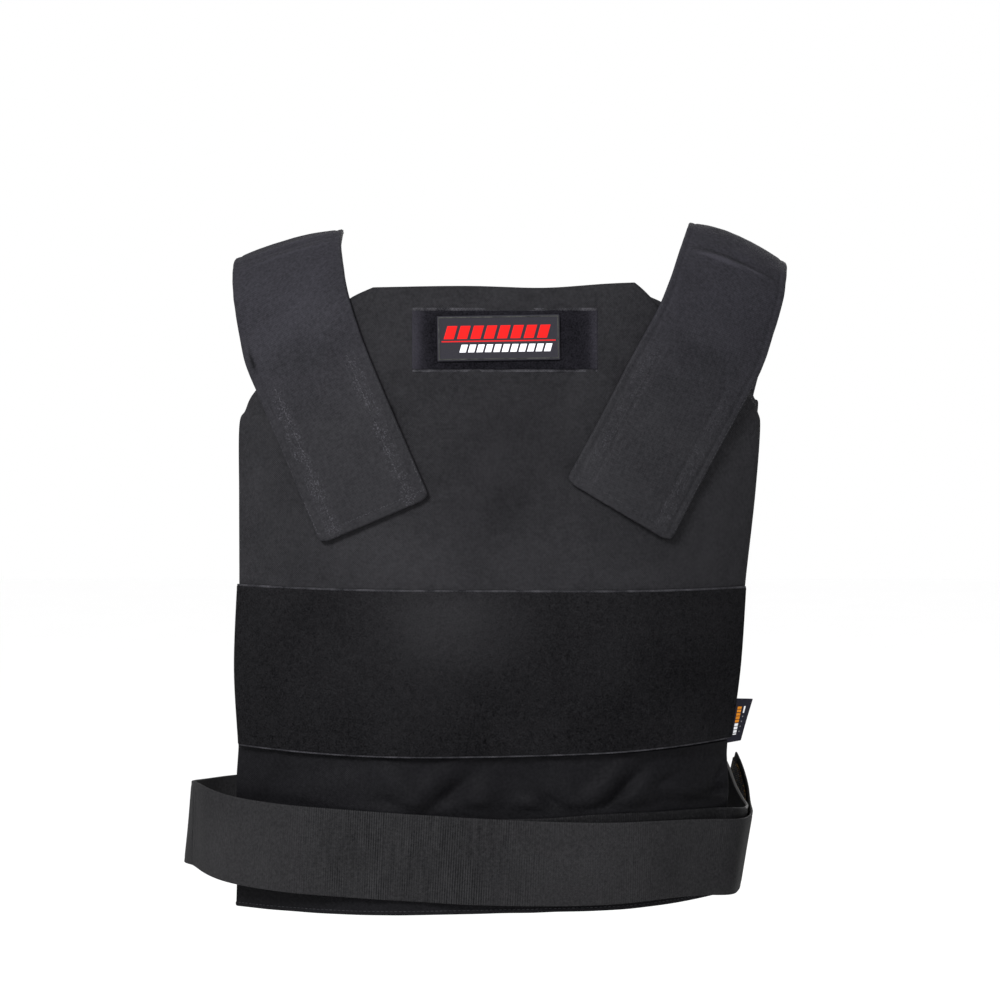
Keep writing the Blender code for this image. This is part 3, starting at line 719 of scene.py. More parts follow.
def stitch_shape():
    """One stitch of thread, one unit long each way from its middle, along X."""
    bpy.ops.object.select_all(action="DESELECT")
    lying = (0.0, math.pi / 2, 0.0)
    bpy.ops.mesh.primitive_uv_sphere_add(segments=6, ring_count=5, radius=1.0, rotation=lying)
    bpy.ops.object.transform_apply(location=False, rotation=True, scale=False)
    ball = bpy.context.active_object
    points = np.array([vertex.co[:] for vertex in ball.data.vertices])
    faces = [list(face.vertices) for face in ball.data.polygons]
    bpy.data.objects.remove(ball, do_unlink=True)
    return points, faces


def along_line(stops, gone, values):
    """Read a line's points or normals at distances along it."""
    return np.stack([np.interp(stops, gone, values[:, k]) for k in range(3)], axis=1)


def unit(vectors):
    """Vectors of length 1."""
    return vectors / np.linalg.norm(vectors, axis=1, keepdims=True)


def sew(name, runs, material, stitch=PLAIN_STITCH):
    """Rows of stitches as one piece. Each run is a face and the corners of its line."""
    shape, shape_faces = stitch_shape()
    points = []
    for face, corners in runs:
        corners = np.asarray(corners, float)
        places = np.linspace(0, len(corners) - 1, 240 * (len(corners) - 1) + 1)
        first = np.interp(places, np.arange(len(corners)), corners[:, 0])
        second = np.interp(places, np.arange(len(corners)), corners[:, 1])
        line, normals = on_face(face, first, second)
        gone = np.concatenate([[0.0], np.cumsum(np.linalg.norm(np.diff(line, axis=0), axis=1))])
        stops = np.arange(stitch.pitch / 2, gone[-1], stitch.pitch)
        centre = along_line(stops, gone, line)
        up = unit(along_line(stops, gone, normals))
        along = unit(along_line(stops + 0.3, gone, line) - along_line(stops - 0.3, gone, line))
        side = np.cross(up, along)
        turn = np.where(np.arange(len(stops)) % 2 == 0, 1.0, -1.0)[:, None]
        along = along + side * turn * stitch.zigzag * 2 / stitch.length
        side = np.cross(up, along)
        made = centre[:, None, :] - up[:, None, :] * stitch.sunk
        made = made + along[:, None, :] * shape[None, :, 0:1] * stitch.length / 2
        made = made + side[:, None, :] * shape[None, :, 1:2] * stitch.width / 2
        made = made + up[:, None, :] * shape[None, :, 2:3] * stitch.width / 2
        points.append(made.reshape(-1, 3))
    points = np.concatenate(points)
    count = len(points) // len(shape)
    faces = [[k * len(shape) + corner for corner in face] for k in range(count) for face in shape_faces]
    return finish_mesh(name, points, faces, material)


def settle(grid, held, growth, push, cap):
    """How far each point of a sewn-down cloth moves when it is a little larger than its place.

    The cloth is simulated as one layer, held where held is 1. growth is its spare size as a
    share, push the air pressure behind it, and cap the most that a point may move.
    """
    mesh = bpy.data.meshes.new("loose_cloth")
    mesh.from_pydata((grid.reshape(-1, 3) * MM).tolist(), [], grid_quads(*grid.shape[:2]).tolist())
    loose = bpy.data.objects.new("loose_cloth", mesh)
    bpy.context.scene.collection.objects.link(loose)
    group = loose.vertex_groups.new(name="held")
    for number, weight in enumerate(held.ravel()):
        if weight > 0.01:
            group.add([number], float(weight), "REPLACE")
    cloth = loose.modifiers.new("cloth", "CLOTH")
    cloth.settings.vertex_group_mass = "held"
    cloth.settings.quality = 6
    cloth.settings.mass = 0.12
    cloth.settings.tension_stiffness = 25.0
    cloth.settings.compression_stiffness = 25.0
    cloth.settings.bending_stiffness = 0.4
    cloth.settings.shrink_min = -growth
    cloth.settings.use_pressure = push != 0.0
    cloth.settings.uniform_pressure_force = push
    cloth.settings.effector_weights.gravity = 0.0
    cloth.collision_settings.use_collision = False
    for number in range(1, SETTLE_FRAMES + 1):
        bpy.context.scene.frame_set(number)
    shown = loose.evaluated_get(bpy.context.evaluated_depsgraph_get())
    points = np.empty(grid.size)
    shown.data.vertices.foreach_get("co", points)
    moved = soften(points.reshape(grid.shape) / MM - grid, 3)
    moved = soften(moved.transpose(1, 0, 2), 3).transpose(1, 0, 2)
    bpy.data.objects.remove(loose, do_unlink=True)
    bpy.context.scene.frame_set(1)
    far = np.linalg.norm(moved, axis=2, keepdims=True)
    return moved * np.minimum(1.0, cap / np.maximum(far, 1e-9))


def refine(coarse, rows, columns):
    """Read a coarse grid of values smoothly at a finer grid of the same stations."""
    count = coarse.shape[1]
    down = curve_rows(coarse.reshape(len(coarse), -1), np.linspace(0, len(coarse) - 1, rows))
    down = down.reshape(rows, count, -1).transpose(1, 0, 2).reshape(count, -1)
    across = curve_rows(down, np.linspace(0, count - 1, columns))
    return across.reshape(columns, rows, -1).transpose(1, 0, 2)


class Wire:
    """One output of a material's nodes, with arithmetic."""

    def __init__(self, paint, socket):
        self.paint = paint
        self.socket = socket

    def math(self, operation, *others, flip=False):
        values = [self, *others]
        if flip:
            values.reverse()
        return self.paint.node("ShaderNodeMath", {"operation": operation}, dict(enumerate(values)))

    def __add__(self, other):
        return self.math("ADD", other)

    def __radd__(self, other):
        return self.math("ADD", other)

    def __sub__(self, other):
        return self.math("SUBTRACT", other)

    def __rsub__(self, other):
        return self.math("SUBTRACT", other, flip=True)

    def __mul__(self, other):
        return self.math("MULTIPLY", other)

    def __rmul__(self, other):
        return self.math("MULTIPLY", other)

    def __truediv__(self, other):
        return self.math("DIVIDE", other)

    def clamp(self):
        return self.paint.node("ShaderNodeClamp", {}, {"Value": self})

    def ramp(self, low, high):
        """0 below low, 1 above high, smooth between."""
        settings = {"interpolation_type": "SMOOTHSTEP"}
        values = {"Value": self, "From Min": low, "From Max": high}
        return self.paint.node("ShaderNodeMapRange", settings, values)

    def band(self, middle, half_width, blur):
        """1 within half_width of the middle, 0 beyond the blur."""
        away = (self - middle).math("ABSOLUTE")
        return 1.0 - away.ramp(half_width, half_width + blur)

    def ribs(self, pitch):
        """Round ribs from 0 to 1, one for each pitch."""
        return (self * (2 * math.pi / pitch)).math("SINE") * 0.5 + 0.5

    def dashes(self, step, share, blur):
        """1 in the middle of each step, for that share of it to both sides."""
        return (self * (1 / step)).math("FRACT").band(0.5, share, blur)


class Paint:
    """Builds one material."""

    def __init__(self, name, **fixed):
        self.material = bpy.data.materials.new(name)
        self.material.use_nodes = True
        self.tree = self.material.node_tree
        self.shader = self.tree.nodes["Principled BSDF"]
        for socket, value in fixed.items():
            self.shader.inputs[socket.replace("_", " ")].default_value = value

    def node(self, kind, settings, values, output=0):
        made = self.tree.nodes.new(kind)
        for key, value in settings.items():
            setattr(made, key, value)
        for key, value in values.items():
            if isinstance(value, Wire):
                self.tree.links.new(value.socket, made.inputs[key])
            else:
                made.inputs[key].default_value = value
        return Wire(self, made.outputs[output])

    def feed(self, socket, wire):
        self.tree.links.new(wire.socket, self.shader.inputs[socket])

    def place(self):
        """The object's own coordinates, in metres."""
        return self.node("ShaderNodeTexCoord", {}, {}, "Object")

    def cut(self):
        """Along and across the flat cut, in millimetres."""
        spot = self.node("ShaderNodeUVMap", {"uv_map": "cut"}, {})
        along = self.node("ShaderNodeSeparateXYZ", {}, {0: spot}, 0) * 1000.0
        across = self.node("ShaderNodeSeparateXYZ", {}, {0: spot}, 1) * 1000.0
        return along, across

    def noise(self, per_metre, detail=2.0, rough=0.5, spot=None):
        values = {"Scale": per_metre, "Detail": detail, "Roughness": rough}
        values["Vector"] = self.place() if spot is None else spot
        return self.node("ShaderNodeTexNoise", {}, values, "Fac")

    def stretched(self, along, across):
        """The flat cut, with each direction scaled, for streaky patterns."""
        spot = self.node("ShaderNodeUVMap", {"uv_map": "cut"}, {})
        values = {0: spot, 1: (along, across, 1.0)}
        return self.node("ShaderNodeVectorMath", {"operation": "MULTIPLY"}, values)

    def colour(self, low, high, share):
        """Blend two shades, each a plain colour or a wire."""
        ends = [end if isinstance(end, Wire) else (*end, 1.0) for end in (low, high)]
        return self.node("ShaderNodeMix", {"data_type": "RGBA"}, {0: share, 6: ends[0], 7: ends[1]}, 2)

    def patch(self, tone, along, across):
        """1 in the middle of a soft-edged patch on the flat cut, 0 beyond it."""
        turn = math.radians(tone.angle)
        along = along - tone.a
        across = across - tone.b
        one = (along * math.cos(turn) + across * math.sin(turn)) * (1 / tone.half_length)
        two = (across * math.cos(turn) - along * math.sin(turn)) * (1 / tone.half_width)
        return ((one * one + two * two) * -1.0).math("EXPONENT")

    def toned(self, share, tones):
        """Add patches to the share of the light shade, and keep it between 0 and 1."""
        along, across = self.cut()
        for tone in tones:
            share = share + tone.height * self.patch(tone, along, across)
        return share.clamp()

    def bump(self, height, depth, base=None):
        """Relief, depth metres high."""
        values = {"Height": height, "Distance": depth, "Strength": 1.0}
        if base is not None:
            values["Normal"] = base
        return self.node("ShaderNodeBump", {}, values)


def weave_height(along, across, pitch):
    """Over-and-under threads of a plain weave."""
    one = (along * (math.pi / pitch)).math("SINE")
    two = (across * (math.pi / pitch)).math("SINE")
    return one * two * 0.5 + 0.5


def nylon(name, shades, pitch, roughness, uneven, tones=(), far=None, frayed=(), worn=0.0):
    """Woven nylon with a soft mottle, and a few paler or darker places of painted light and shade on its
    flat cut.

    far is a paler light shade beyond 200 mm along, painted light on a strap's upper part, frayed the two
    bands across with broken fibres, and worn is how strongly those show.
    """
    paint = Paint(name, Specular_IOR_Level=CLOTH_SHEEN)
    dark, light = shades
    along, across = paint.cut()
    threads = weave_height(along, across, pitch)
    broad = paint.noise(28.0, 3.0)
    fine = paint.noise(420.0, 2.0)
    mottle = paint.noise(150.0, 3.0, 0.6)
    share = (broad - 0.5) * (0.45 * uneven) + (mottle - 0.5) * (0.3 * uneven)
    share = share + (fine - 0.5) * 0.8 + threads * 0.3 + 0.35
    if far is not None:
        # A strap's upper part is painted paler, as painted light from above
        light = paint.colour(light, far, along.ramp(60.0, 200.0))
    shade = paint.colour(dark, light, paint.toned(share, tones))
    for middle in frayed:
        fibres = paint.noise(760.0, 2.0, 0.8).ramp(0.52, 0.64)
        clumps = paint.noise(130.0, 2.0, 0.6).ramp(0.40, 0.60)
        shown = across.band(middle, 4.0, 4.5) * (1.0 - along.ramp(112.0, 140.0)) * worn
        shade = paint.colour(shade, BROKEN_FIBRE, fibres * (clumps * 0.7 + 0.3) * shown)
    paint.feed("Base Color", shade)
    paint.feed("Roughness", roughness - 0.2 * (fine - 0.5) - 0.1 * (broad - 0.5))
    crumple = paint.bump(broad * 0.6 + mottle * 0.4, 0.0010 * uneven)
    paint.feed("Normal", paint.bump(threads * 0.8 + fine * 0.9, 0.00020, crumple))
    return paint.material


def loop_pile(name, height, shades, painted_shading):
    """Loop tape: a fuzzy pile with painted light and shade in places, between two flat woven selvedges.
    """
    paint = Paint(name, Specular_IOR_Level=PILE_SHEEN)
    dark, light = shades
    along, across = paint.cut()
    tufts = paint.noise(800.0, 4.0, 0.7)
    clumps = paint.noise(260.0, 3.0, 0.6)
    sweep = paint.noise(18.0, 2.0)
    selvedge = 1.0 - across.ramp(1.5, 2.3) * (1.0 - across.ramp(height - 2.3, height - 1.5))
    share = (tufts - 0.5) * 1.1 + (clumps - 0.5) * 0.35 + (sweep - 0.5) * 0.25 + 0.24
    pile = paint.colour(dark, light, paint.toned(share, painted_shading))
    weave = weave_height(along, across, 1.1)
    worn = paint.noise(90.0, 3.0, 0.7)
    woven = paint.colour(*SELVEDGE_SHADES, (weave * 0.3 + (worn - 0.4) * 2.0).clamp())
    paint.feed("Base Color", paint.colour(pile, woven, selvedge))
    paint.feed("Roughness", 0.95 - 0.25 * selvedge)
    relief = (tufts + clumps * 0.8) * (1.0 - selvedge) + selvedge * weave * 0.3
    paint.feed("Normal", paint.bump(relief, 0.0009))
    return paint.material


def elastic(name, tones, pale_edge):
    """Woven elastic with fine ribs across its length, and patches of painted light and shade. pale_edge
    is the stretch along which its top edge has a pale line.
    """
    paint = Paint(name, Specular_IOR_Level=CLOTH_SHEEN)
    along, across = paint.cut()
    ribs = along.ribs(1.9)
    threads = across.ribs(0.9)
    patches = paint.noise(34.0, 2.0)
    streaks = paint.noise(210.0, 2.0, 0.6, paint.stretched(1.0, 0.14))
    drawn = along.band(*DRAWN_TIGHT)
    fine = paint.noise(500.0, 2.0)
    shown = patches.ramp(0.42, 0.62)
    ribbed = (ribs - 0.5) * (shown * 0.5 + 0.1) * (drawn * 0.8 + 0.2)
    ribbed = ribbed + (streaks - 0.5) * (drawn * 0.5 + 0.1)
    share = (fine - 0.5) * 0.8 + ribbed + (patches - 0.5) * 0.2 + threads * 0.08 + 0.4
    shade = paint.colour(*ELASTIC_SHADES, paint.toned(share, tones))
    start, stop = pale_edge
    pale = across.band(0.0, 0.4, 0.3) * along.band((start + stop) / 2, (stop - start) / 2, 4.0)
    paint.feed("Base Color", paint.colour(shade, PALE_EDGE_SHADE, pale))
    paint.feed("Roughness", 0.72 - 0.1 * fine)
    paint.feed("Normal", paint.bump(ribs * (shown * 0.7 + 0.3) + threads * 0.25 + fine * 0.3, 0.00018))
    return paint.material


def hook_tape(name):
    """Hook tape: rows of tiny stiff hooks."""
    paint = Paint(name, Specular_IOR_Level=CLOTH_SHEEN)
    along, across = paint.cut()
    rows = weave_height(along, across, 1.3)
    fine = paint.noise(700.0, 3.0)
    specks = paint.noise(330.0, 1.0)
    share = (rows * 0.5 + fine * 0.6 - 0.1).clamp()
    nap = paint.colour(*HOOK_SHADES, share)
    paint.feed("Base Color", paint.colour(nap, HOOK_SPECK, specks.ramp(0.56, 0.66)))
    paint.feed("Roughness", 0.5 + 0.2 * fine)
    paint.feed("Normal", paint.bump(rows + fine * 0.6, 0.0006))
    return paint.material


def thread(name, shades, per_metre):
    """Twisted sewing thread, dusty or worn in places."""
    paint = Paint(name, Specular_IOR_Level=0.08)
    twist = paint.noise(1400.0, 1.0)
    wear = paint.noise(per_metre, 2.0, 0.7)
    share = ((wear - 0.38) * 4.0 + (twist - 0.5) * 0.5).clamp()
    paint.feed("Base Color", paint.colour(*shades, share))
    paint.feed("Roughness", 0.45 + 0.2 * twist)
    paint.feed("Normal", paint.bump(twist, 0.0001))
    return paint.material


CARRIER_NYLON = nylon(
    "carrier_nylon", CARRIER_SHADES, pitch=0.85, roughness=0.72, uneven=1.0, tones=PANEL_PAINTED_SHADING
)
FLAP_NYLON = nylon("flap_nylon", FLAP_SHADOWED_SHADES, pitch=0.7, roughness=0.6, uneven=0.35, tones=FLAP_PAINTED_SHADING)
TAPE_NYLON = nylon("tape_nylon", STRAP_SHADES, pitch=0.85, roughness=0.72, uneven=0.8)
STRAP_NYLON = {
    side: nylon("strap_nylon_" + side, STRAP_SHADES, pitch=0.85, roughness=0.72, uneven=0.8, tones=tones,
                far=STRAP_UPPER_PAINTED_LIGHT, frayed=(FRAYED_FROM_EDGE, STRAP_WIDTH - FRAYED_FROM_EDGE), worn=worn)
    for side, tones, worn in (("left", LEFT_STRAP_PAINTED_SHADING, 0.50), ("right", RIGHT_STRAP_PAINTED_SHADING, 0.26))
}
BAND_PILE = loop_pile("band_pile", BAND_HEIGHT, BAND_SHADES, BAND_PAINTED_HIGHLIGHT)
FIELD_PILE = loop_pile("field_pile", FIELD_HEIGHT, FIELD_SHADES, FIELD_PAINTED_SHADING)
ELASTIC = elastic("ribbed_elastic", BELT_PAINTED_SHADING, (-60.0, -50.0))
INNER_ELASTIC = elastic("inner_elastic", INNER_BELT_PAINTED_SHADE, (246.0, 390.0))
HOOKS = hook_tape("hook_tape")
THREAD = thread("thread", THREAD_SHADES, 260.0)
DARK_THREAD = thread("dark_thread", DARK_THREAD_SHADES, 200.0)


def panel_stations(count):
    """Shares of a panel's width, closer together at both edges."""
    t = np.linspace(0.0, 1.0, count)
    return t - 0.11 * np.sin(2 * math.pi * t)


def panel_grid(outline, form, rows, columns):
    """Middle layer of a panel and its flat cut: each row runs from its left edge to its right."""
    last = len(outline) - 1
    edge = curve_rows(outline, panel_stations(rows) * last)
    share = panel_stations(columns)[None, :]
    x = mix(edge[:, 0:1], edge[:, 2:3], share)
    z = mix(edge[:, 1:2], edge[:, 3:4], share)
    cut = np.stack([x, z], axis=-1)
    if form is FRONT_FORM:
        z = z + foot_rise(x, z)
    grid = np.stack([x, form_depth(form, x, z), z], axis=-1)
    return grid, cut


def sewn_edge(grid):
    """1 in the seam around a panel, 0 inside it."""
    return 1.0 - np.clip((distance_to_rim(grid) - 3) / 5, 0, 1)


def carrier_thick(grid):
    """Full thickness inside, rounded down to the sewn edge."""
    away = np.clip(distance_to_rim(grid) / CARRIER_SHOULDER, 0.0, 1.0)
    swell = np.sqrt(1.0 - (1.0 - away) ** 2)
    return mix(CARRIER_EDGE_THICK, ARMOUR_THICK, swell)


def panel_relief(grid, folds, seed, seam_level=None):
    """Broad unevenness, folds, and small puckers along a sewn line."""
    x = grid[..., 0]
    z = grid[..., 2]
    away = distance_to_rim(grid)
    inside = np.clip(away / 25, 0, 1)
    relief = 0.5 * cloth_noise(x, z, 80, seed) * inside + folds_height(folds, x, z)
    relief = relief + 0.12 * cloth_noise(x, z, 22, seed + 1) * inside
    relief = relief + 0.16 * groove(away - 4, 5.0) * cloth_noise(x, z, 15, seed + 2)
    if seam_level is not None:
        puckers = np.exp(-np.maximum(z - seam_level, 0) / 9.0)
        relief = relief + 0.3 * puckers * cloth_noise(x, z * 0.25, 17, seed + 3)
    return relief


def make_front_panel():
    """The padded front panel."""
    coarse, _ = panel_grid(FRONT_OUTLINE, FRONT_FORM, *FRONT_COARSE)
    held = np.maximum(sewn_edge(coarse), smooth_step((BAND_TOP + 1 - coarse[..., 2]) / 4))
    loose = refine(settle(coarse, held, growth=0.003, push=1.2, cap=1.6), *FRONT_GRID)
    grid, cut = panel_grid(FRONT_OUTLINE, FRONT_FORM, *FRONT_GRID)
    depth, middle, half_width, level = NECK_DIP
    dip = groove(grid[..., 0] - middle, half_width) * smooth_step((grid[..., 2] - level) / 20)
    grid[..., 2] -= depth * dip
    grid[..., 1] -= panel_relief(grid, PANEL_FOLDS, FRONT_SEED, BAND_TOP)
    grid = grid + loose
    piece = wall("front_panel", grid, cut, carrier_thick(grid), CARRIER_NYLON, SEWN_RIM)
    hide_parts("front_carrier")


def make_back_panel():
    """The padded back panel."""
    coarse, _ = panel_grid(BACK_OUTLINE, BACK_FORM, *BACK_COARSE)
    loose = refine(settle(coarse, sewn_edge(coarse), growth=0.004, push=-1.4, cap=2.0), *BACK_GRID)
    grid, cut = panel_grid(BACK_OUTLINE, BACK_FORM, *BACK_GRID)
    grid[..., 1] += panel_relief(grid, (), BACK_SEED)
    grid = grid + loose
    piece = wall("back_panel", grid, cut, carrier_thick(grid), CARRIER_NYLON, SEWN_RIM)
    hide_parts("back_carrier")


def make_flap():
    """The soft flap under the armour, with its stitched hem."""
    rows, columns = FLAP_GRID
    coarse, _ = panel_grid(FLAP_OUTLINE, FRONT_FORM, *FLAP_COARSE)
    fade = smooth_step((coarse[..., 2] - FOLD_FOOT) / FOLD_FADE)
    coarse[..., 1] -= folds_height(FLAP_FOLDS, coarse[..., 0], coarse[..., 2]) * fade * SETTLING_FOLD_GAIN
    held = smooth_step((coarse[..., 2] - FLAP_SEAM) / 3)
    held = np.maximum(held, smooth_step((FOLD_FOOT - coarse[..., 2]) / 4))
    loose = refine(settle(coarse, held, growth=0.018, push=0.5, cap=3.0), *FLAP_GRID)
    grid, cut = panel_grid(FLAP_OUTLINE, FRONT_FORM, *FLAP_GRID)
    x = grid[..., 0]
    z = grid[..., 2]
    fade = smooth_step((z - FOLD_FOOT) / FOLD_FADE)
    relief = folds_height(FLAP_FOLDS, x, z) * fade * FOLD_GAIN
    relief = relief + 0.25 * cloth_noise(x, z, 18, FLAP_SEED) * smooth_step((z + 452) / 8)
    below = smooth_step((-518 - z) / 8)
    relief = relief + 0.5 * cloth_noise(x, z * 0.4, 40, FLAP_SEED + 1) * below
    grid[..., 1] -= relief
    grid = grid + loose
    to_foot = (1 - np.linspace(0, 1, rows)[:, None] * np.ones((1, columns))) * FLAP_DROP
    thick = FLAP_THICK + 0.9 * smooth_step((HEM_DEPTH - to_foot) / 1.5)
    thick = thick - 0.5 * groove(to_foot - HEM_SEAM, 1.0)
    piece = wall("tuck_in_flap", grid, cut, thick, FLAP_NYLON, CLOTH_RIM)
    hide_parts("tuck_flap")
    first = np.linspace(0, FLAP_DROP, rows)
    second = np.linspace(0, FLAP_WIDTH, columns)
    faces = [make_face(grid, thick, first, second, side) for side in (1.0, -1.0)]
    level = FLAP_DROP - HEM_SEAM
    hem_runs = [(face, [(level, 4), (level, FLAP_WIDTH - 4)]) for face in faces]
    stitches = sew("flap_hem_stitches", hem_runs, DARK_THREAD)


def make_seam_tape():
    """The binding over the inner seam between the front panel and its flap."""
    rows, columns = SEAM_TAPE_GRID
    start, stop = SEAM_TAPE_ENDS
    x = np.linspace(start, stop, columns)[None, :]
    drop = np.linspace(0, SEAM_TAPE_WIDTH, rows)[:, None]
    z = mix(*SEAM_TAPE_TOP, (x - start) / (stop - start)) - drop
    z = z + foot_rise(x, z)
    behind = mix(3.9, 1.9, smooth_step(drop / 9)) + 0.9
    grid = np.stack([x + 0 * z, lying_depth(FRONT_FORM, x, z, behind), z], axis=-1)
    cut = np.stack(np.broadcast_arrays(x, drop), axis=-1)
    piece = wall("flap_seam_tape", grid, cut, SEAM_TAPE_THICK, TAPE_NYLON, CLOTH_RIM)
    face = make_face(grid, SEAM_TAPE_THICK, drop[:, 0], x[0])
    levels = (2.0, SEAM_TAPE_WIDTH - 2.0)
    runs = [(face, [(level, start + 2), (level, stop - 2)]) for level in levels]
    stitches = sew("flap_seam_stitches", runs, DARK_THREAD, BINDING_STITCH)


def tape_thick(across, height, thick):
    """Pile stands proud of the selvedges along a tape's two long edges."""
    return mix(thick * 0.62, thick, smooth_step((edge_gap(across, height) - 1.4) / 1.2))


def make_band():
    """The wide loop tape across the belly."""
    lift = -(ARMOUR_THICK + TAPE_THICK) / 2 - SEAM_GAP
    rows, columns = BAND_GRID
    places = np.linspace(0, 1, rows)
    places = places - 0.13 * np.sin(2 * math.pi * places)
    edge = curve_rows(BAND_OUTLINE, places * (len(BAND_OUTLINE) - 1))
    share = np.linspace(0, 1, columns)[None, :]
    x = mix(edge[:, 0:1], edge[:, 2:3], share)
    z = mix(edge[:, 1:2], edge[:, 3:4], share)
    z = z + foot_rise(x, z)
    grid = np.stack([x, lying_depth(FRONT_FORM, x, z, lift), z], axis=-1)
    across = np.broadcast_to(places[:, None] * BAND_HEIGHT, x.shape)
    cut = np.stack([x, across], axis=-1)
    thick = tape_thick(across, BAND_HEIGHT, TAPE_THICK)
    inside = np.minimum(1, edge_gap(across, BAND_HEIGHT) / 20)
    grid[..., 1] -= 0.25 * cloth_noise(x, z, 60, BAND_SEED) * inside
    piece = wall("belly_band", grid, cut, thick, BAND_PILE, TAPE_RIM)
    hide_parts("loop_band")
    face = make_face(grid, thick, across[:, 0], np.linspace(0, 400, columns), -1.0)
    levels = (SELVEDGE_SEAM, BAND_HEIGHT - SELVEDGE_SEAM)
    runs = [(face, [(level, 3), (level, 397)]) for level in levels]
    stitches = sew("band_stitches", runs, DARK_THREAD, TAPE_STITCH)


def tile_grid(centre, width, height, lift, rows, columns, tilt=0.0):
    """A flat rectangle of tape on the chest, leaning with it."""
    top = form_depth(FRONT_FORM, 0.0, centre[1] + height / 2)
    foot = form_depth(FRONT_FORM, 0.0, centre[1] - height / 2)
    turn = math.radians(tilt)
    down = (panel_stations(rows)[:, None] - 0.5) * np.ones((1, columns))
    across = (panel_stations(columns)[None, :] - 0.5) * np.ones((rows, 1))
    x = across * width * math.cos(turn) + down * height * math.sin(turn)
    drop = down * height * math.cos(turn) - across * width * math.sin(turn)
    y = mix(top, foot, drop / height + 0.5) - lift
    grid = np.stack([centre[0] + x, y, centre[1] - drop], axis=-1)
    return grid, np.stack([(across + 0.5) * width, (down + 0.5) * height], axis=-1)


def make_field():
    """The strip of loop tape at the chest."""
    lift = (ARMOUR_THICK + TAPE_THICK) / 2 + SEAM_GAP
    grid, cut = tile_grid(FIELD_CENTRE, FIELD_WIDTH, FIELD_HEIGHT, lift, *FIELD_GRID)
    thick = tape_thick(cut[..., 1], FIELD_HEIGHT, TAPE_THICK)
    piece = wall("chest_tape", grid, cut, thick, FIELD_PILE, TAPE_RIM)
    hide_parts("chest_loop_field")
    face = make_face(grid, thick, cut[:, 0, 1], cut[0, :, 0], -1.0)
    near = SELVEDGE_SEAM
    far = FIELD_WIDTH - near
    foot = FIELD_HEIGHT - near
    ring = [(near, near), (near, far), (foot, far), (foot, near), (near, near)]
    stitches = sew("chest_tape_stitches", [(face, ring)], DARK_THREAD, TAPE_STITCH)


# Rows of slanted bars on the patch: middle across, half height, step, and both ends along
BAR_ROWS = {"red": (12.4, 5.0, 10.4, 4.6, 87.8), "white": (25.0, 2.9, 6.6, 16.6, 89.2)}
BAR_LEAN = 0.3
BAR_SHARE = 0.36
LINE_ACROSS = 19.4
LINE_HALF_LENGTH = 44.5


def bar_row(along, across, row):
    """Where a row of bars stands up, from 0 to 1."""
    middle, half_height, step, start, stop = row
    leaned = along + (across - middle) * BAR_LEAN
    phase = (leaned - start) / step
    phase = np.abs(phase - np.floor(phase) - 0.5)
    bars = smooth_step((BAR_SHARE + 0.03 - phase) / 0.06) * (leaned > start) * (leaned < stop)
    return bars * smooth_step((half_height + 0.3 - np.abs(across - middle)) / 0.5)


def patch_relief(along, across):
    """Where the embroidery stands up, from 0 to 1."""
    line = smooth_step((0.7 - np.abs(across - LINE_ACROSS)) / 0.4)
    line = line * (np.abs(along - PATCH_WIDTH / 2) < LINE_HALF_LENGTH)
    return np.maximum(line * 0.6, sum(bar_row(along, across, row) for row in BAR_ROWS.values()))


def make_patch():
    """The patch with its two rows of slanted bars."""
    lift = (ARMOUR_THICK + TAPE_THICK) / 2 + SEAM_GAP + (TAPE_THICK + PATCH_THICK) / 2 + SEAM_GAP
    grid, cut = tile_grid(PATCH_CENTRE, PATCH_WIDTH, PATCH_HEIGHT, lift, *PATCH_GRID, PATCH_TILT)
    along = cut[..., 0]
    across = cut[..., 1]
    edge = np.minimum(edge_gap(along, PATCH_WIDTH), edge_gap(across, PATCH_HEIGHT))
    thick = PATCH_THICK - 0.5 + 0.5 * patch_relief(along, across) + 0.45 * groove(edge - 0.9, 0.7)
    piece = wall("bar_patch", grid, cut, thick, patch_cloth(), PATCH_RIM)
    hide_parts("name_patch")


def patch_inside(along, across, inset):
    """1 on the patch further in than inset from its edge."""
    inside = across.band(PATCH_HEIGHT / 2, PATCH_HEIGHT / 2 - inset, 0.2)
    return inside * along.band(PATCH_WIDTH / 2, PATCH_WIDTH / 2 - inset, 0.2)


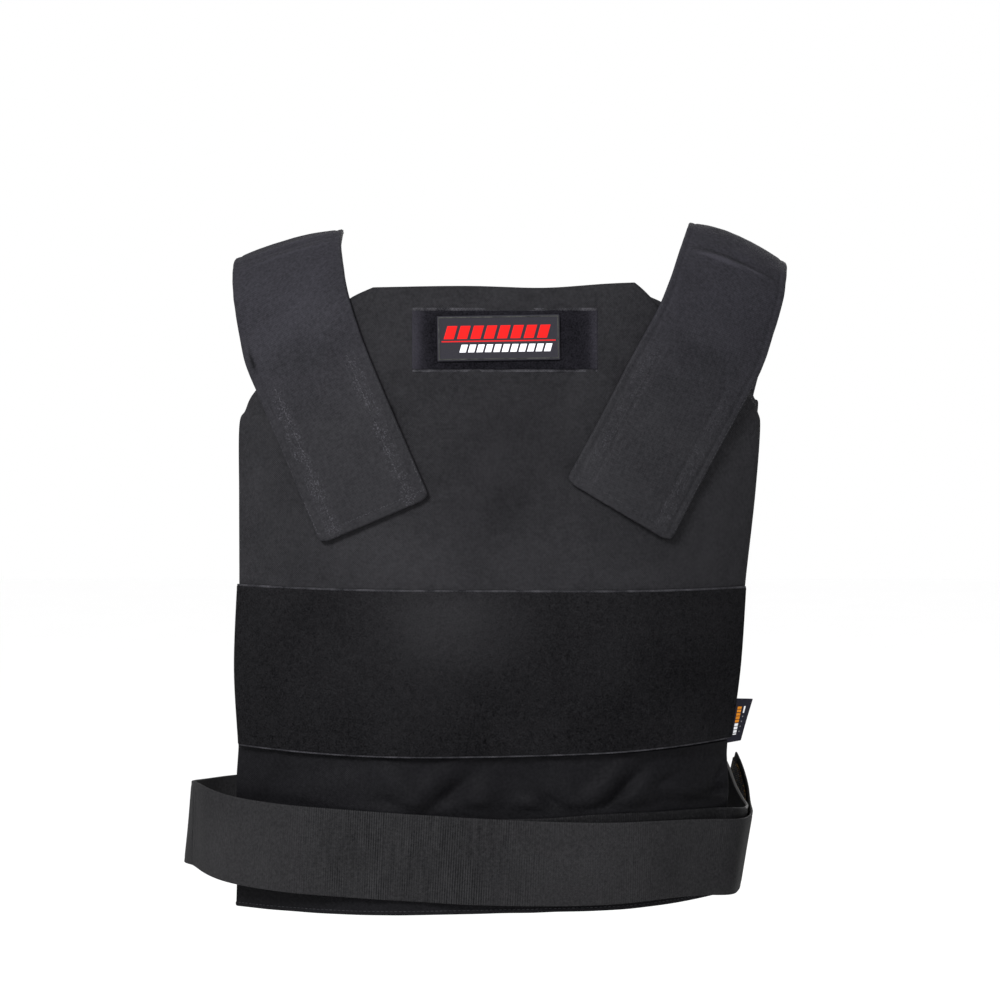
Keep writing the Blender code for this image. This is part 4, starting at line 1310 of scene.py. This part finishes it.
def patch_cloth():
    """Black twill with rows of embroidered slanted bars, a thin line, and an over-sewn edge."""
    paint = Paint("patch_cloth", Specular_IOR_Level=0.06)
    along, across = paint.cut()
    bars = {}
    for name, (middle, half_height, step, start, stop) in BAR_ROWS.items():
        leaned = along + (across - middle) * BAR_LEAN
        shown = (leaned - start).dashes(step, BAR_SHARE, 0.03) * across.band(middle, half_height, 0.25)
        bars[name] = shown * leaned.band((start + stop) / 2, (stop - start) / 2, 0.2)
    line = across.band(LINE_ACROSS, 0.35, 0.25) * along.band(PATCH_WIDTH / 2, LINE_HALF_LENGTH, 0.2)
    border = patch_inside(along, across, 0.5) - patch_inside(along, across, 1.1)
    satin = across.ribs(0.55)
    whip = (along + across).ribs(1.0)
    twill = (along - across).ribs(0.9)
    ground = paint.colour(*TWILL_SHADES, twill)
    red = paint.colour(*RED_SHADES, satin)
    white = paint.colour(*WHITE_SHADES, satin)
    wear = paint.noise(160.0, 2.0, 0.7)
    edge = paint.colour(*PATCH_EDGE_SHADES, (whip * 0.5 + (wear - 0.45) * 2.0).clamp())
    shade = paint.colour(ground, edge, border)
    shade = paint.colour(shade, white, bars["white"])
    raised = (bars["red"] + line * 0.8).clamp()
    paint.feed("Base Color", paint.colour(shade, red, raised))
    paint.feed("Roughness", 0.8 - 0.1 * raised)
    raised = (raised + bars["white"] + border).clamp()
    paint.feed("Normal", paint.bump(satin * raised * 0.5 + twill * 0.3 + whip * border * 0.6, 0.0002))
    return paint.material


def rounded_ends(t, along, length, width, radius):
    """Draw the stations in near a strip's two ends, so that its corners are round."""
    end = np.clip(edge_gap(along, length), 0.0, radius)
    inset = (radius - np.sqrt(radius ** 2 - (radius - end) ** 2)) / width
    inset = inset[:, None, None]
    return mix(inset, 1 - inset, t)


def strap_grid(table, shoulder, size, lifts, share=(0.0, 1.0), side=(0.0, 1.0)):
    """Middle layer of a shoulder strap, from its hook end to the back panel.

    lifts are its heights over the front and back forms, and share and side the parts of its
    length and width that the grid covers.
    """
    stations, columns = size
    front_lift, back_lift = lifts
    whole, length = even_rows(table, STRAP_CURVE_ROWS, lambda rows: (rows[:, 0:3] + rows[:, 3:6]) / 2, 10)
    places = np.linspace(share[0], share[1], stations) * (len(whole) - 1)
    rows = curve_rows(whole, places)
    lifted, crown = shoulder
    rise = lifted * smooth_step(((rows[:, 2] + rows[:, 5]) / 2 + 60.0) / 45.0)
    rows[:, 2] += rise
    rows[:, 5] += rise
    outer = rows[:, None, 0:3]
    inner = rows[:, None, 3:6]
    here = (rows[:, 0:3] + rows[:, 3:6]) / 2
    away = np.stack([np.zeros(stations), here[:, 1], here[:, 2] + 110.0], axis=1)
    away = unit(away)
    t = np.linspace(side[0], side[1], columns)[None, :, None]
    gone = np.linspace(share[0], share[1], stations) * length
    t = rounded_ends(t, gone, length, STRAP_WIDTH, STRAP_CORNER)
    grid = mix(outer, inner, t) + away[:, None, :] * (rows[:, None, 7:8] * crown * 4 * t * (1 - t))
    hug = smooth_step(rows[:, 6])[:, None]
    ahead = lying_depth(FRONT_FORM, grid[..., 0], grid[..., 2], -front_lift)
    behind = lying_depth(BACK_FORM, grid[..., 0], grid[..., 2], back_lift)
    lying = np.where(here[:, 1:2] < 0, ahead, behind)
    grid[..., 1] = mix(grid[..., 1], lying, hug)
    along = np.broadcast_to(gone[:, None], grid.shape[:2])
    across = np.broadcast_to(t[..., 0] * STRAP_WIDTH, grid.shape[:2])
    return grid, np.stack([along, across], axis=-1), length


def strap_thick(cut, length):
    """A strap drawn thin along its rows of stitching."""
    along = cut[..., 0]
    edge = edge_gap(cut[..., 1], STRAP_WIDTH)
    front = 1 - smooth_step((along - STRAP_SEAM_LENGTH) / 5)
    end = edge_gap(along, length)
    drawn = 1.1 * groove(edge - STRAP_SEAMS[0], 1.3) + 0.9 * groove(edge - STRAP_SEAMS[1], 1.4) * front
    drawn = np.maximum(drawn, 1.1 * groove(end - STRAP_END_SEAM, 1.3) * (edge > STRAP_SEAMS[0]))
    return STRAP_THICK - drawn


def strap_front_runs(face):
    """The two inner rows of stitching on a strap's hook end, and the row round the end itself."""
    inner = (STRAP_SEAMS[1], STRAP_WIDTH - STRAP_SEAMS[1])
    runs = [(face, [(STRAP_END_SEAM, level), (STRAP_SEAM_LENGTH, level)]) for level in inner]
    low = STRAP_SEAMS[0]
    high = STRAP_WIDTH - low
    near = STRAP_END_SEAM
    far = STRAP_END_TURN
    runs.append((face, [(far, low), (near, low), (near, high), (far, high)]))
    return runs


def strap_back_runs(face, length):
    """The rows along a strap's edges over the shoulder, and the box on the back panel."""
    low = STRAP_SEAMS[0]
    high = STRAP_WIDTH - low
    start = length - STRAP_BOX
    stop = length - STRAP_END_SEAM
    runs = [(face, [(STRAP_EDGE_START, level), (stop, level)]) for level in (low, high)]
    runs.append((face, [(start, low), (start, high), (stop, low), (stop, high), (start, low)]))
    return runs


def make_strap(side, table, creases):
    """One shoulder strap with the hook tape under its front end."""
    seed = STRAP_SEEDS[side]
    face_level = ARMOUR_THICK / 2 + SEAM_GAP
    over_hook = face_level + HOOK_THICK + SEAM_GAP + STRAP_THICK / 2
    on_back = face_level + STRAP_THICK / 2
    grid, cut, length = strap_grid(table, SHOULDER[side], STRAP_GRID, (over_hook, on_back))
    along = cut[..., 0]
    across = cut[..., 1]
    edge = edge_gap(across, STRAP_WIDTH)
    free = smooth_step((along - 110) / 50) * smooth_step((length - 60 - along) / 40)
    relief = 0.55 * cloth_noise(along, across, 48, seed) * (0.25 + 0.75 * free)
    relief = relief + folds_height(creases, along, across)
    relief = relief + 0.16 * cloth_noise(along, across * 0.5, 13, seed + 1) * groove(edge - 3, 6)
    relief = relief + 0.10 * cloth_noise(along, across, 14, seed + 2)
    normals = grid_normals(grid)
    out = strap_side(normals)
    grid = grid + normals * (np.maximum(relief, -0.35 - free) * out)[..., None]
    thick = strap_thick(cut, length)
    name = "strap_" + side
    piece = wall(name, grid, cut, thick, STRAP_NYLON[side], SEWN_RIM)
    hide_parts("shoulder_" + name)
    face = make_face(grid, thick, along[:, 0], across[0], out)
    worn = THREAD if side == "left" else DARK_THREAD
    sew(name + "_stitches", strap_front_runs(face), worn, STRAP_STITCH)
    sew(name + "_edge_stitches", strap_back_runs(face, length), DARK_THREAD)
    lifts = (face_level + HOOK_THICK / 2, on_back)
    along = (HOOK_END[side] / length, (HOOK_MARGIN + HOOK_LENGTH) / length)
    across = (HOOK_MARGIN / STRAP_WIDTH, 1 - HOOK_MARGIN / STRAP_WIDTH)
    grid, cut, _ = strap_grid(table, SHOULDER[side], STRAP_HOOK_GRID, lifts, along, across)
    tape = wall(name + "_hooks", grid, cut, HOOK_THICK, HOOKS, HOOK_RIM)
    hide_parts("strap_hook_" + side)


def strap_side(normals):
    """1 if a strap's grid normals face outwards, else -1."""
    return 1.0 if normals[10, 50, 1] < 0 else -1.0


def belt_grid(table, size, lifts, share=(0.0, 1.0), margin=0.0, shift=0.0):
    """Middle layer of a belt: each station hangs from its top edge, square to the belt's run.

    lifts are its heights over the front form, which depend on x, and over the back form. share
    is the part of its length that the grid covers, margin the width left free at both edges and
    shift how far it lies outwards.
    """
    stations, columns = size
    front_lift, back_lift = lifts
    whole, length = even_rows(table, BELT_CURVE_ROWS, lambda rows: rows[:, 0:3], 24)
    last = len(whole) - 1
    line = np.arange(len(whole))
    run = whole[np.minimum(line + 4, last), 0:3] - whole[np.maximum(line - 4, 0), 0:3]
    run = soften(unit(run), 20)
    places = np.linspace(share[0], share[1], stations) * last
    rows = curve_rows(whole, places)
    run = unit(curve_rows(run, places))
    outwards = unit(np.cross(run, np.array([0.0, 0.0, 1.0])))
    down = np.cross(outwards, run)
    down[down[:, 2] > 0] *= -1
    drop = np.sqrt(rows[:, 3] ** 2 - rows[:, 4] ** 2)[:, None, None]
    edge = margin / BELT_WIDTH
    t = np.linspace(edge, 1 - edge, columns)[None, :, None]
    grid = rows[:, None, 0:3] + down[:, None, :] * drop * t
    grid = grid + outwards[:, None, :] * (rows[:, None, 4:5] * t + shift)
    front = smooth_step(rows[:, 5])[:, None]
    back = smooth_step(rows[:, 6])[:, None]
    on_front = lying_depth(FRONT_FORM, grid[..., 0], grid[..., 2], -front_lift(grid[..., 0]))
    on_back = lying_depth(BACK_FORM, grid[..., 0], grid[..., 2], back_lift)
    grid[..., 1] = mix(grid[..., 1], on_front, front)
    grid[..., 1] = mix(grid[..., 1], on_back, back)
    along = np.broadcast_to(np.linspace(share[0], share[1], stations)[:, None] * length, grid.shape[:2])
    across = np.broadcast_to(t[..., 0] * BELT_WIDTH, grid.shape[:2])
    return grid, np.stack([along, across], axis=-1), length


def belt_thick(cut):
    """Elastic with slightly thinner woven edges."""
    edge = edge_gap(cut[..., 1], BELT_WIDTH)
    return BELT_THICK - 0.5 * groove(edge - 3.2, 0.9) - 0.3 * smooth_step((3 - edge) / 2)


def belt_side(grid):
    """1 if the grid's normals face outwards at its first station, on the back panel, else -1."""
    return 1.0 if grid_normals(grid)[2, 2, 1] > 0 else -1.0


def belt_relief(grid, cut, creases, seed):
    """Small unevenness of a belt, square to it."""
    normals = grid_normals(grid) * belt_side(grid)
    along = cut[..., 0]
    across = cut[..., 1]
    relief = 0.2 * cloth_noise(along, across, 60, seed) + folds_height(creases, along, across)
    return normals * np.clip(relief, -0.6, 0.8)[..., None]


def sewn_box(face, near, far):
    """A box of stitching with a cross in it, right across a belt."""
    low = BELT_SEAM
    high = BELT_WIDTH - BELT_SEAM
    return [(face, [(near, low), (near, high), (far, high), (far, low), (near, low), (far, high)]),
            (face, [(near, high), (far, low)])]


def make_belts():
    """The two elastic side straps and the hook tape inside the outer one's free end."""
    on_flap = FLAP_THICK / 2 + SEAM_GAP + BELT_THICK / 2 + 0.2
    on_back = ARMOUR_THICK / 2 + SEAM_GAP + BELT_THICK / 2
    step = BELT_THICK + SEAM_GAP
    inner_end = INNER_BELT[0][0]

    def over_inner(x):
        """Height over the flap, and over the inner belt where that lies between."""
        return on_flap + step * smooth_step((x - inner_end + 45) / 35)

    grid, cut, length = belt_grid(OUTER_BELT, OUTER_BELT_GRID, (over_inner, on_back))
    grid = grid + belt_relief(grid, cut, BELT_CREASES, BELT_SEED)
    thick = belt_thick(cut)
    outer = wall("elastic_outer", grid, cut, thick, ELASTIC, TAPE_RIM)
    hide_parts("belt_outer")
    round(length * MM, 3)
    outer_face = make_face(grid, thick, cut[:, 0, 0], cut[0, :, 1], belt_side(grid))
    end = (1 - (BELT_HOOK_LENGTH + HOOK_MARGIN) / length, 1 - HOOK_MARGIN / length)
    inside = -(BELT_THICK + HOOK_THICK) / 2 - SEAM_GAP
    grid, cut, _ = belt_grid(OUTER_BELT, BELT_HOOK_GRID, (over_inner, on_back), end, HOOK_MARGIN, inside)
    hooks = wall("elastic_hooks", grid, cut, HOOK_THICK, HOOKS, HOOK_RIM)
    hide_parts("belt_hook")
    outer_runs = sewn_box(outer_face, 5.0, 42.0)
    end_seam = length - BELT_SEAM
    outer_runs.append((outer_face, [(end_seam, HOOK_MARGIN), (end_seam, BELT_WIDTH - HOOK_MARGIN)]))
    grid, cut, length = belt_grid(INNER_BELT, INNER_BELT_GRID, (lambda x: on_flap, on_back))
    thick = belt_thick(cut)
    inner_face = make_face(grid, thick, cut[:, 0, 0], cut[0, :, 1], -belt_side(grid[::-1]))
    inner_runs = sewn_box(inner_face, length - 34.0, length - 5.0)
    sew("elastic_stitches", outer_runs + inner_runs, DARK_THREAD)
    inner = wall("elastic_inner", grid, cut, thick, INNER_ELASTIC, TAPE_RIM)
    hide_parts("belt_inner")
    round(length * MM, 3)


def label_weave():
    """Satin label with an orange and a white row of bars, a white stroke and a row of dots."""
    paint = Paint("label_weave", Specular_IOR_Level=0.05)
    along, drop = paint.cut()
    satin = drop.ribs(0.5)
    bars = along.band(10.4, 1.9, 0.3) * drop.dashes(2.9, 0.36, 0.06)
    orange = bars * drop.band(13.2, 6.6, 0.3)
    white = bars * drop.band(25.5, 4.6, 0.3)
    stroke = along.band(15.4, 0.6, 0.3) * drop.band(9.0, 2.8, 0.3)
    dots = drop.dashes(4.3, 0.10, 0.05) * along.band(15.6, 0.35, 0.3) * drop.band(21.5, 8.0, 0.3)
    shade = paint.colour(paint.colour(*LABEL_SHADES, satin), LABEL_ORANGE, orange)
    paint.feed("Base Color", paint.colour(shade, LABEL_WHITE, (white + stroke + dots * 0.3).clamp()))
    paint.feed("Roughness", 0.5 + 0.15 * satin)
    paint.feed("Normal", paint.bump(satin, 0.00008))
    return paint.material


def make_label():
    """The folded label in the side seam."""
    top_in, top_out, foot_out, foot_in = (np.array(corner, float) for corner in LABEL_CORNERS)
    rows, columns = LABEL_GRID
    down = np.linspace(0, 1, rows)[:, None, None]
    across = np.linspace(0, 1, columns)[None, :, None]
    start = mix(top_in, foot_in, down)
    end = mix(top_out, foot_out, down)
    curl = np.array([0.0, 2.0, 0.0]) * (4 * down * (1 - down))
    grid = mix(start, end, across) + curl * across
    places = np.broadcast_arrays(across[..., 0] * LABEL_WIDTH, down[..., 0] * LABEL_HEIGHT)
    cut = np.stack(places, axis=-1)
    piece = wall("seam_label", grid, cut, LABEL_THICK, label_weave(), TAPE_RIM)
    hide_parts("side_label")


def aim(thing, target):
    """Turn a lamp to face a point."""
    look = Vector(target) - thing.location
    thing.rotation_euler = look.to_track_quat("-Z", "Y").to_euler()


def add_softbox(name, place, size, power):
    """One square soft light."""
    data = bpy.data.lights.new(name, "AREA")
    data.shape = "SQUARE"
    data.size = size
    data.energy = power
    lamp = bpy.data.objects.new(name, data)
    lamp.location = place
    bpy.context.scene.collection.objects.link(lamp)
    aim(lamp, SOFTBOX_TARGET)


def make_studio():
    """Pale floor, soft light and the camera."""
    bpy.ops.object.select_all(action="DESELECT")
    bpy.ops.mesh.primitive_plane_add(size=FLOOR_SIZE, location=(0.0, 0.0, FLOOR_LEVEL))
    floor = bpy.context.active_object
    floor.name = "floor"
    paint = Paint("floor_paper", Roughness=0.9)
    grain = paint.noise(3.0)
    paint.feed("Base Color", paint.colour((0.975, 0.975, 0.975), (0.99, 0.99, 0.99), grain))
    floor.data.materials.append(paint.material)
    world = bpy.data.worlds.new("studio")
    world.use_nodes = True
    sky = world.node_tree.nodes["Background"]
    sky.inputs["Color"].default_value = (1.0, 1.0, 1.0, 1.0)
    sky.inputs["Strength"].default_value = 1.0
    bpy.context.scene.world = world
    bpy.context.scene.view_settings.view_transform = "Standard"
    for light in SOFTBOXES:
        add_softbox(*light)
    data = bpy.data.cameras.new("camera")
    data.sensor_width = CAMERA_SENSOR
    data.lens = CAMERA_LENS
    camera = bpy.data.objects.new("camera", data)
    camera.location = CAMERA_PLACE
    camera.rotation_euler = (math.radians(90 - CAMERA_DOWNWARDS), 0.0, 0.0)
    bpy.context.scene.collection.objects.link(camera)
    bpy.context.scene.camera = camera


make_studio()
make_front_panel()
make_back_panel()
make_flap()
make_seam_tape()
make_band()
make_field()
make_patch()
make_strap("left", LEFT_STRAP, LEFT_CREASES)
make_strap("right", RIGHT_STRAP, RIGHT_CREASES)
make_belts()
make_label()
